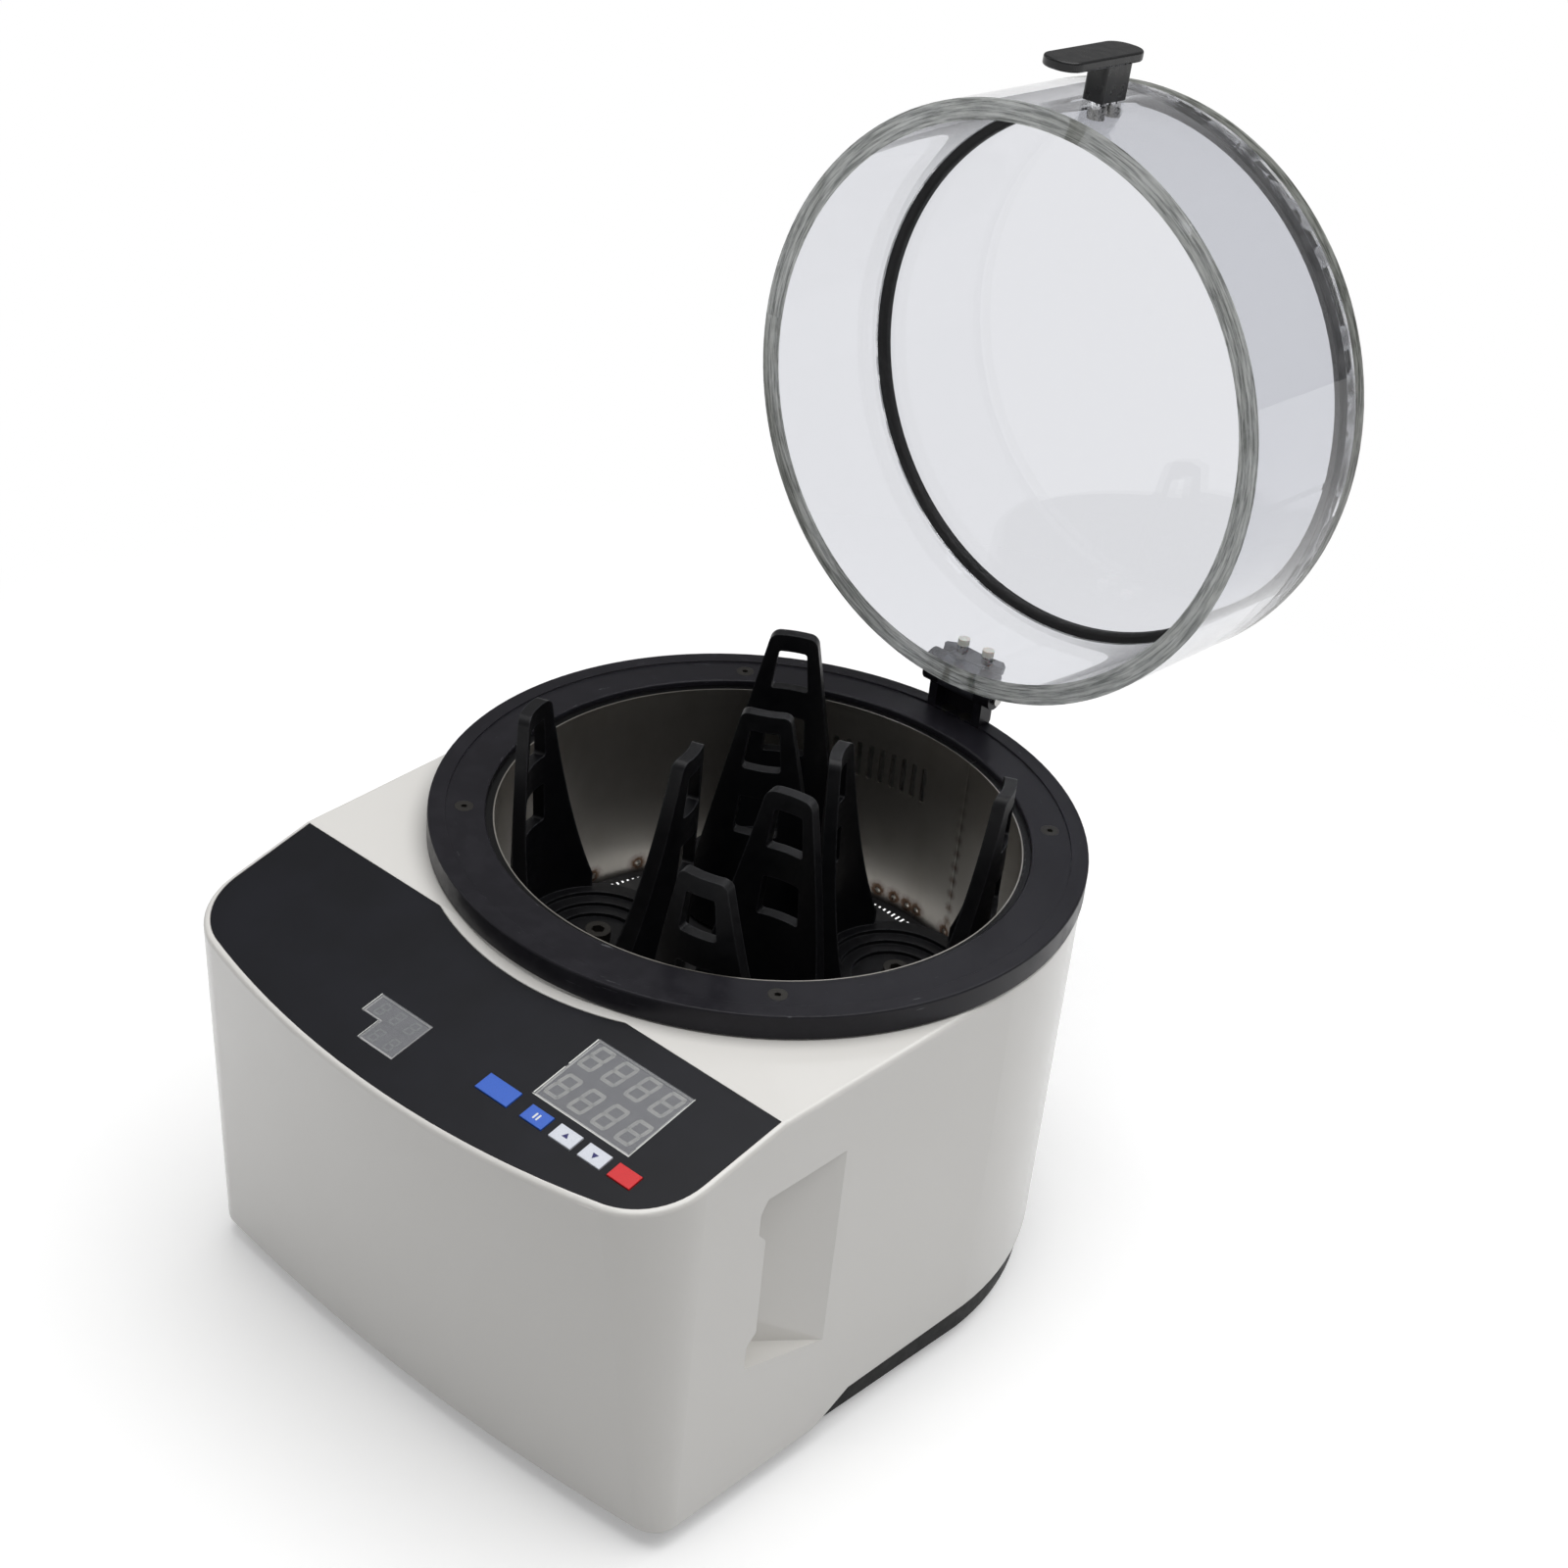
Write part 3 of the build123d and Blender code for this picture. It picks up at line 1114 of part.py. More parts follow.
# Mains inlet in the flat at the rear, with three contact blades
with BuildPart() as power_inlet:
    with BuildSketch(Plane.XZ.offset(-rear_flat_y)):
        with Locations((inlet_x, inlet_z)):
            Rectangle(inlet_width - 2 * running_gap, inlet_height - 2 * running_gap)
    extrude(amount=inlet_depth)
    with BuildSketch(Plane.XZ.offset(-rear_flat_y)):
        with Locations((inlet_x, inlet_z)):
            Rectangle(inlet_width + 2 * bezel_rim, inlet_height + 2 * bezel_rim)
    extrude(amount=-bezel_thickness)
    with BuildSketch(Plane.XZ.offset(-rear_flat_y - bezel_thickness)):
        with Locations((inlet_x, inlet_z)):
            Rectangle(inlet_width - 2 * socket_margin, inlet_height - 2 * socket_margin)
    extrude(amount=socket_depth, mode=Mode.SUBTRACT)
    with BuildSketch(Plane.XZ.offset(-rear_flat_y - bezel_thickness + socket_depth)):
        with Locations((inlet_x - blade_pitch, inlet_z - blade_width), (inlet_x, inlet_z + blade_width),
                       (inlet_x + blade_pitch, inlet_z - blade_width)):
            Rectangle(blade_width, blade_height)
    extrude(amount=-blade_depth)
finish(power_inlet, "power_inlet")

# Power switch: a frame in the same flat and a rocker that tilts on its two trunnions
pivot_y = rear_flat_y + bezel_thickness / 2 - rocker_depth / 2
with BuildPart() as switch_frame:
    with BuildSketch(Plane.XZ.offset(-rear_flat_y)):
        with Locations((switch_x, inlet_z)):
            Rectangle(rocker_width + 2 * rocker_frame_wall - 2 * running_gap,
                      rocker_height + 2 * rocker_frame_wall - 2 * running_gap)
    extrude(amount=inlet_depth - bezel_thickness)
    with BuildSketch(Plane.XZ.offset(-rear_flat_y)):
        with Locations((switch_x, inlet_z)):
            Rectangle(rocker_width + 2 * rocker_frame_wall + 2 * bezel_rim,
                      rocker_height + 2 * rocker_frame_wall + 2 * bezel_rim)
    extrude(amount=-bezel_thickness / 2)
    with BuildSketch(Plane.XZ.offset(-rear_flat_y - bezel_thickness / 2)):
        with Locations((switch_x, inlet_z)):
            Rectangle(rocker_width + 2 * seat_gap, rocker_height + 2 * seat_gap)
    extrude(amount=socket_depth, mode=Mode.SUBTRACT)
    with BuildSketch(Plane.YZ.offset(switch_x)):
        with Locations((pivot_y, inlet_z)):
            Circle(trunnion_radius + running_gap)
    extrude(amount=rocker_width / 2 + rocker_frame_wall, both=True, mode=Mode.SUBTRACT)
finish(switch_frame, "switch_frame")

with BuildPart() as power_rocker:
    tilt = math.radians(rocker_tilt)
    face_out = rocker_depth / 2
    half = rocker_height / 2 - rocker_end_gap
    rise = half * math.tan(tilt)
    shape = [(-half, face_out + rise), (0, face_out), (half, face_out + rise),
             (half * rocker_back_share, -face_out), (-half * rocker_back_share, -face_out)]
    turned = [(pivot_y + out * math.cos(tilt) + up * math.sin(tilt),
               inlet_z + up * math.cos(tilt) - out * math.sin(tilt)) for up, out in shape]
    with BuildSketch(Plane.YZ.offset(switch_x)):
        with BuildLine():
            Polyline(*turned, close=True)
        make_face()
    extrude(amount=rocker_width / 2, both=True)
    with BuildSketch(Plane.YZ.offset(switch_x)):
        with Locations((pivot_y, inlet_z)):
            Circle(trunnion_radius)
    extrude(amount=rocker_width / 2 + trunnion_reach, both=True)
finish(power_rocker, "power_rocker")
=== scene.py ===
# %% [markdown]
# # Planetary ball mill
# This bench machine grinds powders. Four jar holders ride on a turntable in a steel bowl, and gears
# turn each holder on its own axis as it travels round. The solid parts were drawn with a CAD program.
# Here they get the finishes that they have on the real machine, and the small printed and welded
# details that a CAD drawing leaves out.

# %% Start: load the solid parts
import bpy
import math
from mathutils import Matrix, Vector


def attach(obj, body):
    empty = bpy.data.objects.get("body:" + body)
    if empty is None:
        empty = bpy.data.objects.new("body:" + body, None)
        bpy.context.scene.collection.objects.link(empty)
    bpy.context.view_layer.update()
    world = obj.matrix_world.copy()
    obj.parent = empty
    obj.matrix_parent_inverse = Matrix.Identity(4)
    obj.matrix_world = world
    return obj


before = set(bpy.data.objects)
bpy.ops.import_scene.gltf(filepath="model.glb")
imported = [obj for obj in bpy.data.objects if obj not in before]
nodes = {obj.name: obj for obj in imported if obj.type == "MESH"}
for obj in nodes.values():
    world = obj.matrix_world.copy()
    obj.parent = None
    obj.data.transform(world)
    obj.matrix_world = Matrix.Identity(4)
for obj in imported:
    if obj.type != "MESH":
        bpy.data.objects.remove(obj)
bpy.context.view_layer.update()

# %% [markdown]
# ## Tools for the finishes
# A finish is a small network of nodes: a pattern is worked out from the place on the surface, and it
# steers the colour, the roughness or the bumps. It could also be a painted picture wrapped round the
# part, but a worked-out pattern has no seams and stays sharp close up. Lengths are in millimetres on
# the real object, so each pattern is given the size that it has on the bench.
#
# Some sockets go by number. Map Range takes a value in 0, its range in 1 and 2 and the new range in
# 3 and 4. Mix takes a share in 0 and two colours in 6 and 7, and gives its colour at output 2.

# %% Colours as they are written on a screen


def srgb(code):
    """Turns a colour such as 'e8e8e4' into linear light."""
    parts = [int(code[i:i + 2], 16) / 255 for i in (0, 2, 4)]
    return tuple(v / 12.92 if v <= 0.04045 else ((v + 0.055) / 1.055) ** 2.4 for v in parts) + (1.0,)


print("the middle grey 808080 is", round(srgb("808080")[0], 3), "in linear light")

# %% One function adds every node


def add(tree, kind, inputs=None, output=0, **settings):
    """Adds a node, sets its options, fills its inputs with values or links, and gives one output."""
    made = tree.nodes.new("ShaderNode" + kind)
    for name, value in settings.items():
        setattr(made, name, value)
    for name, value in (inputs or {}).items():
        if isinstance(value, bpy.types.NodeSocket):
            tree.links.new(value, made.inputs[name])
        else:
            made.inputs[name].default_value = value
    return made.outputs[output]


print("made the helper", add.__name__)

# %% A new finish and its place on the part


def surface(name, **settings):
    """Makes a material with one main shader and returns the material, its network and that shader."""
    made = bpy.data.materials.new(name)
    made.use_nodes = True
    main = made.node_tree.nodes["Principled BSDF"]
    for socket, value in settings.items():
        main.inputs[socket.replace("_", " ")].default_value = value
    return made, made.node_tree, main


def millimetres(tree, centre=(0, 0, 0), turn=(0, 0, 0)):
    """Place on the part in millimetres, seen from a centre and a turn."""
    spot = add(tree, "TexCoord", output="Object")
    return add(tree, "Mapping", {"Vector": spot, "Location": centre, "Rotation": turn, "Scale": (0.001,) * 3},
               vector_type="TEXTURE")


print("made the helpers", surface.__name__, "and", millimetres.__name__)

# %% Links, relief and where a finish goes


def steer(main, **patterns):
    """Lets patterns steer sockets of a main shader, such as Base_Color or Roughness."""
    for socket, pattern in patterns.items():
        main.id_data.links.new(pattern, main.inputs[socket.replace("_", " ")])


def relief(main, pattern, depth, edge=0.0, strength=1.0):
    """Raises the surface by a pattern, in metres, and can round the sharp edges as light sees them."""
    inputs = {"Height": pattern, "Distance": depth, "Strength": strength}
    if edge:
        inputs["Normal"] = add(main.id_data, "Bevel", {"Radius": edge}, samples=4)
    steer(main, Normal=add(main.id_data, "Bump", inputs))


def give(material, *names):
    """Puts a material on solid parts."""
    for name in names:
        for slot in nodes[name].material_slots:
            slot.material = material
    print(material.name, "on", ", ".join(names))


print("made the helpers", steer.__name__ + ",", relief.__name__, "and", give.__name__)

# %% [markdown]
# ## Housing
# The housing is moulded and painted gloss white. It could be given one smooth white, but paint over a
# moulding is never dead flat. So it gets a faint ripple a few millimetres wide, and light scuffs from
# handling that dull the gloss in patches.

# %% White paint
# Gloss paint gives the eye a sharp soft shine over white, a little duller where hands have been.
white_paint, tree, main = surface("white_gloss_paint", Coat_Weight=0.5, Coat_Roughness=0.08,
                                  Specular_IOR_Level=0.5)
where = millimetres(tree)
cloud = add(tree, "TexNoise", {"Vector": where, "Scale": 0.02, "Detail": 3})
ripple = add(tree, "TexNoise", {"Vector": where, "Scale": 0.12, "Detail": 2})
scuff = add(tree, "TexNoise", {"Vector": where, "Scale": 0.5, "Detail": 5, "Roughness": 0.6})
dulled = add(tree, "MapRange", {0: scuff, 1: 0.62, 2: 0.75, 3: 0, 4: 0.12})
steer(main, Roughness=add(tree, "MapRange", {0: cloud, 1: 0.3, 2: 0.7, 3: 0.28, 4: 0.35}),
      Base_Color=add(tree, "Mix", {0: dulled, 6: srgb("e8e6e2"), 7: srgb("d9d6d1")}, 2, data_type="RGBA"))
relief(main, ripple, 0.00003, 0.0006)
give(white_paint, "housing_shell")

# %% [markdown]
# ## Panel
# The overlay is a printed polyester film with a fine satin grain. The panes over the two displays are
# milky, so the unlit digits behind them look soft and grey. A pane could be frosted glass, but mixing
# a see-through shader with a grey one is quicker to render and as soft.

# %% Panel film
# Printed film gives the eye a flat blue-black with a satin grain. The real grain is too fine to show,
# so it is drawn about a third of a millimetre wide.
film, tree, main = surface("black_polyester_film", Roughness=0.38, Specular_IOR_Level=0.28)
where = millimetres(tree)
grain = add(tree, "TexNoise", {"Vector": where, "Scale": 3.0, "Detail": 3})
cloud = add(tree, "TexNoise", {"Vector": where, "Scale": 0.03, "Detail": 2})
cloud = add(tree, "MapRange", {0: cloud, 1: 0.35, 2: 0.65})
steer(main, Base_Color=add(tree, "Mix", {0: cloud, 6: srgb("0b0c13"), 7: srgb("11121a")}, 2, data_type="RGBA"))
relief(main, grain, 0.00002)
give(film, "panel_label")

# %% Milky panes
# A milky pane gives the eye a thin grey haze, with what is behind it showing through.
pane, tree, main = surface("milky_pane", Base_Color=srgb("9a9da1"), Roughness=0.22)
cloud = add(tree, "TexNoise", {"Vector": millimetres(tree), "Scale": 0.15, "Detail": 3})
haze = add(tree, "MapRange", {0: cloud, 1: 0.3, 2: 0.7, 3: 0.2, 4: 0.28})
clear = add(tree, "BsdfTransparent", {"Color": (0.96, 0.96, 0.97, 1)})
both = add(tree, "MixShader", {0: haze, 1: clear, 2: main.outputs[0]})
tree.links.new(both, tree.nodes["Material Output"].inputs["Surface"])
give(pane, "display_window", "temperature_window")

# %% Display modules and circuit board
# Potting epoxy gives the eye a dull pale grey. The board is green lacquer over fine tracks, drawn
# as small bricks.
epoxy, tree, main = surface("grey_display_epoxy", Roughness=0.5)
cloud = add(tree, "TexNoise", {"Vector": millimetres(tree), "Scale": 0.25, "Detail": 2})
steer(main, Base_Color=add(tree, "Mix", {0: cloud, 6: srgb("b0b3b7"), 7: srgb("bbbec2")}, 2, data_type="RGBA"))
give(epoxy, "led_modules")

board, tree, main = surface("green_circuit_board", Roughness=0.35)
tracks = add(tree, "TexBrick", {"Vector": millimetres(tree), "Scale": 0.2, "Color1": srgb("1f6b3d"),
                                "Color2": srgb("1a5c34"), "Mortar": srgb("3c8a52")})
steer(main, Base_Color=tracks)
give(board, "control_board")

# %% [markdown]
# ## Keys
# The keys are small moulded caps, blue for the menu and the pause, white for up and down, and red to
# start and stop. One finish is made three times, because only the colour of the plastic changes.

# %% Key caps
# Moulded plastic gives the eye a clean bright colour with a very fine speckle.
for label, code, names in (("blue_key_plastic", "3c6bd2", ("key_menu", "key_pause")),
                           ("white_key_plastic", "e3e7f0", ("key_up", "key_down")),
                           ("red_key_plastic", "e0252b", ("key_run",))):
    cap, tree, main = surface(label, Roughness=0.35, Specular_IOR_Level=0.5)
    speck = add(tree, "TexNoise", {"Vector": millimetres(tree), "Scale": 2.0, "Detail": 3})
    share = add(tree, "MapRange", {0: speck, 1: 0.3, 2: 0.7, 3: 0, 4: 0.12})
    steer(main, Base_Color=add(tree, "Mix", {0: share, 6: srgb(code), 7: (0, 0, 0, 1)}, 2, data_type="RGBA"))
    relief(main, speck, 0.00002, 0.0002)
    give(cap, *names)

# %% [markdown]
# ## Flange ring, holders and other black metal
# The ring is turned aluminium with a black anodised skin. Turning leaves fine circles, which could be
# cut into the shape but are far too shallow for that, so they are bumps in the finish. The holders
# are black too, with edges painted lighter grey: partly wear where jars and clamps rub them, and
# partly a painted highlight along the edges.

# %% Black anodised ring
# Anodised aluminium gives the eye a satin black with a blue tinge, and a few long light scratches that
# run round with the lid's rim. The circles are drawn wider than real ones, which wouldn't show.
circles_per_mm, scratches_round, scratches_per_mm = 1.2, 9.0, 0.7
anodised, tree, main = surface("black_anodised_aluminium", Metallic=0.1, Specular_IOR_Level=0.2)
where = millimetres(tree)
flat = add(tree, "VectorMath", {0: where, 1: (1, 1, 0)}, operation="MULTIPLY")
radius = add(tree, "VectorMath", {0: flat}, "Value", operation="LENGTH")
steps = add(tree, "CombineXYZ", {0: add(tree, "Math", {0: radius, 1: circles_per_mm}, operation="MULTIPLY")})
circles = add(tree, "TexNoise", {"Vector": steps, "Scale": 1.0, "Detail": 3})
worn = add(tree, "TexNoise", {"Vector": where, "Scale": 0.08, "Detail": 5, "Roughness": 0.65})
worn = add(tree, "MapRange", {0: worn, 1: 0.45, 2: 0.75})
parts = add(tree, "SeparateXYZ", {0: where}).node.outputs
angle = add(tree, "Math", {0: parts[1], 1: parts[0]}, operation="ARCTAN2")
inward = add(tree, "VectorMath", {0: where}, "Value", operation="LENGTH")
track = add(tree, "CombineXYZ", {0: add(tree, "Math", {0: angle, 1: scratches_round}, operation="MULTIPLY"),
                                 1: add(tree, "Math", {0: inward, 1: scratches_per_mm}, operation="MULTIPLY")})
scratch = add(tree, "TexNoise", {"Vector": track, "Scale": 1.0, "Detail": 3, "Roughness": 0.6})
scratch = add(tree, "MapRange", {0: scratch, 1: 0.69, 2: 0.76, 3: 0, 4: 0.4})
share = add(tree, "Math", {0: worn, 1: 0.35}, operation="MULTIPLY")
skin = add(tree, "Mix", {0: share, 6: srgb("1f1e23"), 7: srgb("2f2e34")}, 2, data_type="RGBA")
steer(main, Roughness=add(tree, "MapRange", {0: worn, 1: 0, 2: 1, 3: 0.3, 4: 0.46}),
      Base_Color=add(tree, "Mix", {0: scratch, 6: skin, 7: srgb("85868a")}, 2, data_type="RGBA"))
relief(main, circles, 0.00002, 0.0004, 0.6)
give(anodised, "flange_ring", "hinge_block")

# %% Black holders with worn edges and painted edge highlights
# Handled anodised metal gives the eye a deep satin black that turns grey along its edges, partly from
# wear and partly as a painted highlight. An edge is where a slightly rounded surface would point
# another way than the real one does.
holder_black, tree, main = surface("black_aluminium_worn_and_highlit_edges", Specular_IOR_Level=0.3)
where = millimetres(tree)
rounded = add(tree, "Bevel", {"Radius": 0.0012}, samples=6)
sharp = add(tree, "NewGeometry", output="Normal")
same = add(tree, "VectorMath", {0: rounded, 1: sharp}, "Value", operation="DOT_PRODUCT")
edge = add(tree, "MapRange", {0: add(tree, "Math", {0: 1.0, 1: same}, operation="SUBTRACT"), 1: 0.005, 2: 0.12})
edge_patches = add(tree, "TexNoise", {"Vector": where, "Scale": 0.4, "Detail": 4})
edge_patches = add(tree, "MapRange", {0: edge_patches, 1: 0.35, 2: 0.6, 3: 0.35, 4: 1.0})
# The lighter grey along the edges is partly wear and partly a painted highlight, and it is patchy along the
# edges.
edge_wear_and_highlight = add(tree, "Math", {0: edge, 1: edge_patches}, operation="MULTIPLY")
satin = add(tree, "TexNoise", {"Vector": where, "Scale": 0.15, "Detail": 4})
steer(main, Base_Color=add(tree, "Mix", {0: edge_wear_and_highlight, 6: srgb("0c0c0f"), 7: srgb("2f3033")}, 2, data_type="RGBA"),
      Roughness=add(tree, "MapRange", {0: satin, 1: 0.3, 2: 0.7, 3: 0.34, 4: 0.52}))
relief(main, add(tree, "TexNoise", {"Vector": where, "Scale": 1.5, "Detail": 3}), 0.00003, 0.0006)
give(holder_black, *[f"jar_holder_{n}" for n in (1, 2, 3, 4)])

# %% Painted plates
# Paint on sheet steel gives the eye a dull black with an orange-peel skin.
plate, tree, main = surface("black_painted_steel_plate", Roughness=0.5)
where = millimetres(tree)
cloud = add(tree, "TexNoise", {"Vector": where, "Scale": 0.1, "Detail": 5})
cloud = add(tree, "MapRange", {0: cloud, 1: 0.4, 2: 0.7})
steer(main, Base_Color=add(tree, "Mix", {0: cloud, 6: srgb("141417"), 7: srgb("232222")}, 2, data_type="RGBA"))
relief(main, add(tree, "TexNoise", {"Vector": where, "Scale": 0.8, "Detail": 3}), 0.00004, 0.0004)
give(plate, "bowl_floor", "turntable_disc")

# %% Blackened screws
# Black oxide gives the eye a warm dark grey that still shines like metal.
oxide, tree, main = surface("black_oxide_steel", Base_Color=srgb("383633"), Metallic=0.6)
where = millimetres(tree)
satin = add(tree, "TexNoise", {"Vector": where, "Scale": 0.8, "Detail": 4})
steer(main, Roughness=add(tree, "MapRange", {0: satin, 1: 0.3, 2: 0.7, 3: 0.3, 4: 0.5}))
relief(main, add(tree, "TexNoise", {"Vector": where, "Scale": 1.0, "Detail": 2}), 0.00002, 0.0003)
give(oxide, "flange_screws", "hinge_block_screws", "hub_nut", *[f"holder_screw_{n}" for n in (1, 2, 3, 4)])

# %% [markdown]
# ## Steel bowl
# The bowl wall is rolled from brushed stainless sheet, closed by one upright weld, and its foot is
# welded on in spots. Welding heats the steel, which leaves straw and brown colours round each spot.
# The spots could be modelled as beads, but they stand out by less than a millimetre, so the finish
# draws and raises them at their places on the unrolled wall. The collar above is the same steel, and
# its outer edge is dark, because it lies in the shadow of the ring.

# %% The wall, unrolled flat
# Brushed stainless steel gives the eye a warm metal whose highlights are drawn out round the bowl.
wall_radius = 128.0
steel, tree, main = surface("brushed_stainless_steel", Metallic=0.94)
where = millimetres(tree)
parts = add(tree, "SeparateXYZ", {0: where}).node.outputs
height = parts[2]
angle = add(tree, "Math", {0: parts[1], 1: parts[0]}, operation="ARCTAN2")
around = add(tree, "Math", {0: angle, 1: wall_radius}, operation="MULTIPLY")
unrolled = add(tree, "CombineXYZ", {0: around, 1: height, 2: 0.0})
print("the wall is", round(2 * math.pi * wall_radius), "mm long when unrolled")

# %% Where the wall is welded
# Each foot spot has its angle round the bowl in degrees and its height; the seam is a row of spots.
seam_angle, seam_pitch = 74.8, 8.5
spots = [(170.7, 124), (158.2, 124.4), (140.0, 124.2), (97.2, 124.5), (92.5, 124.6), (88.5, 124.2),
         (85.5, 124.6), (75.3, 124.3), (48.0, 124.4), (20.0, 124.2), (-12.0, 124.3), (-45.0, 124.2),
         (-80.0, 124.4), (-115.0, 124.2), (-150.0, 124.3)]
nearest = None
for degrees, level in spots:
    spot = (math.radians(degrees) * wall_radius, level, 0)
    away = add(tree, "VectorMath", {0: unrolled, 1: spot}, "Value", operation="DISTANCE")
    nearest = add(tree, "Math", {0: nearest, 1: away}, operation="MINIMUM") if nearest else away
across_seam = add(tree, "Math", {0: around, 1: math.radians(seam_angle) * wall_radius}, operation="SUBTRACT")
beat = add(tree, "Math", {0: height, 1: seam_pitch}, operation="MODULO")
beat = add(tree, "Math", {0: beat, 1: seam_pitch / 2}, operation="SUBTRACT")
blob = add(tree, "CombineXYZ", {0: across_seam, 1: beat})
blob = add(tree, "VectorMath", {0: blob}, "Value", operation="LENGTH")
print(len(spots), "spots on the foot and a seam at", seam_angle, "degrees")

# %% Heat colours of the welds
# From a spot's middle outwards the steel is pale, dark brown, tan and then bare again. The seam's
# brown fades out on its way up.
heat_reach, seam_fade = 8.0, (165, 215)
rough_edge = add(tree, "TexNoise", {"Vector": where, "Scale": 0.6, "Detail": 3})
rough_edge = add(tree, "MapRange", {0: rough_edge, 1: 0.2, 2: 0.8, 3: -0.9, 4: 0.9})
warmth = add(tree, "Math", {0: nearest, 1: rough_edge}, operation="ADD")
heat = add(tree, "ValToRGB", {0: add(tree, "MapRange", {0: warmth, 1: 0.0, 2: heat_reach})})
ramp = heat.node.color_ramp
ramp.elements[0].position, ramp.elements[0].color = 0.0, srgb("e8e4dc")
ramp.elements[1].position, ramp.elements[1].color = 0.9, srgb("b4b0a9")
for position, code in ((0.12, "cfc8bd"), (0.24, "4f3a2c"), (0.38, "5f4a3b"), (0.56, "98908a")):
    ramp.elements.new(position).color = srgb(code)
seam_heat = add(tree, "Math", {0: blob, 1: rough_edge}, operation="ADD")
seam_heat = add(tree, "MapRange", {0: seam_heat, 1: 0.6, 2: 4.0, 3: 0.75, 4: 0.0})
fades_up = add(tree, "MapRange", {0: height, 1: seam_fade[0], 2: seam_fade[1], 3: 1.0, 4: 0.15})
seam_heat = add(tree, "Math", {0: seam_heat, 1: fades_up}, operation="MULTIPLY")
wall = add(tree, "Mix", {0: seam_heat, 6: heat, 7: srgb("5b4636")}, 2, data_type="RGBA")
print("heat colours at", [round(element.position, 2) for element in ramp.elements], "of", heat_reach, "mm")

# %% Brushing and stains
# Brush lines are drawn about half a millimetre apart, because real ones are too fine to show. Faint
# tan stains are left from use.
brushing = add(tree, "VectorMath", {0: unrolled, 1: (0.03, 1.6, 0)}, operation="MULTIPLY")
brushing = add(tree, "TexNoise", {"Vector": brushing, "Scale": 1.0, "Detail": 4})
stain = add(tree, "VectorMath", {0: unrolled, 1: (0.06, 0.03, 0)}, operation="MULTIPLY")
stain = add(tree, "TexNoise", {"Vector": stain, "Scale": 1.0, "Detail": 4})
stain = add(tree, "MapRange", {0: stain, 1: 0.45, 2: 0.75, 3: 0, 4: 0.2})
wall = add(tree, "Mix", {0: stain, 6: wall, 7: srgb("857a6c")}, 2, data_type="RGBA")
steer(main, Roughness=add(tree, "MapRange", {0: brushing, 1: 0.25, 2: 0.75, 3: 0.3, 4: 0.42}))
print("the wall's roughness follows its brushing")

# %% The collar's dark edge
collar_edge, collar_top = (128.45, 128.75), (228.5, 229.0)
flat = add(tree, "CombineXYZ", {0: parts[0], 1: parts[1]})
radius = add(tree, "VectorMath", {0: flat}, "Value", operation="LENGTH")
outer = add(tree, "MapRange", {0: radius, 1: collar_edge[0], 2: collar_edge[1]})
upper = add(tree, "MapRange", {0: height, 1: collar_top[0], 2: collar_top[1]})
dark_edge = add(tree, "Math", {0: outer, 1: upper}, operation="MULTIPLY")
steer(main, Base_Color=add(tree, "Mix", {0: dark_edge, 6: wall, 7: srgb("2b2b2c")}, 2, data_type="RGBA"))
print("the collar is dark from a radius of", collar_edge[1], "mm and a height of", collar_top[1], "mm")

# %% Weld beads and brush lines in relief
bead_radius, seam_half_width = 1.8, 1.0
foot_bead = add(tree, "MapRange", {0: nearest, 1: 0.0, 2: bead_radius, 3: 1.0, 4: 0.0})
off_seam = add(tree, "Math", {0: across_seam}, operation="ABSOLUTE")
seam_bead = add(tree, "MapRange", {0: off_seam, 1: 0.0, 2: seam_half_width, 3: 0.25, 4: 0.0})
bead = add(tree, "Math", {0: foot_bead, 1: seam_bead}, operation="MAXIMUM")
lines = add(tree, "Math", {0: brushing, 1: 0.02}, operation="MULTIPLY")
relief(main, add(tree, "Math", {0: lines, 1: bead}, operation="ADD"), 0.0006)
give(steel, "bowl_liner", "bowl_collar", "bowl_foot")

# %% [markdown]
# ## Lid
# The lid is a clear acrylic tube with a clear disc bonded to its end. It could be one even glass, but
# clear plastic shows its thickness at the sawn rim, at the edge of the disc and in the glue. These
# are frosted and grey-green with streaks, so a frosted shader is mixed in there.

# %% Saw streaks along and round the lid
# Acrylic gives the eye clear walls, and a streaky grey-green band wherever it was cut. The places are
# measured along the lid's own axis, which lies back 94 degrees from upright.
lid_centre, lid_turn, wall_middle = (0, 0.16608, 0.40477), math.radians(94), 143.0
acrylic, tree, main = surface("lid_acrylic", Base_Color=srgb("e2e3e7"), Roughness=0.0, IOR=1.49,
                              Transmission_Weight=1.0)
where = millimetres(tree, lid_centre, (-lid_turn, 0, 0))
parts = add(tree, "SeparateXYZ", {0: where}).node.outputs
level = parts[2]
flat = add(tree, "VectorMath", {0: where, 1: (1, 1, 0)}, operation="MULTIPLY")
radius = add(tree, "VectorMath", {0: flat}, "Value", operation="LENGTH")
angle = add(tree, "Math", {0: parts[1], 1: parts[0]}, operation="ARCTAN2")
around = add(tree, "Math", {0: angle, 1: wall_middle}, operation="MULTIPLY")
streak = add(tree, "CombineXYZ", {0: add(tree, "Math", {0: around, 1: 0.05}, operation="MULTIPLY"),
                                  1: add(tree, "Math", {0: radius, 1: 0.9}, operation="MULTIPLY"),
                                  2: add(tree, "Math", {0: level, 1: 0.5}, operation="MULTIPLY")})
saw = add(tree, "TexNoise", {"Vector": streak, "Scale": 1.0, "Detail": 5, "Roughness": 0.7})
print("the lid's wall is", round(2 * math.pi * wall_middle), "mm round")

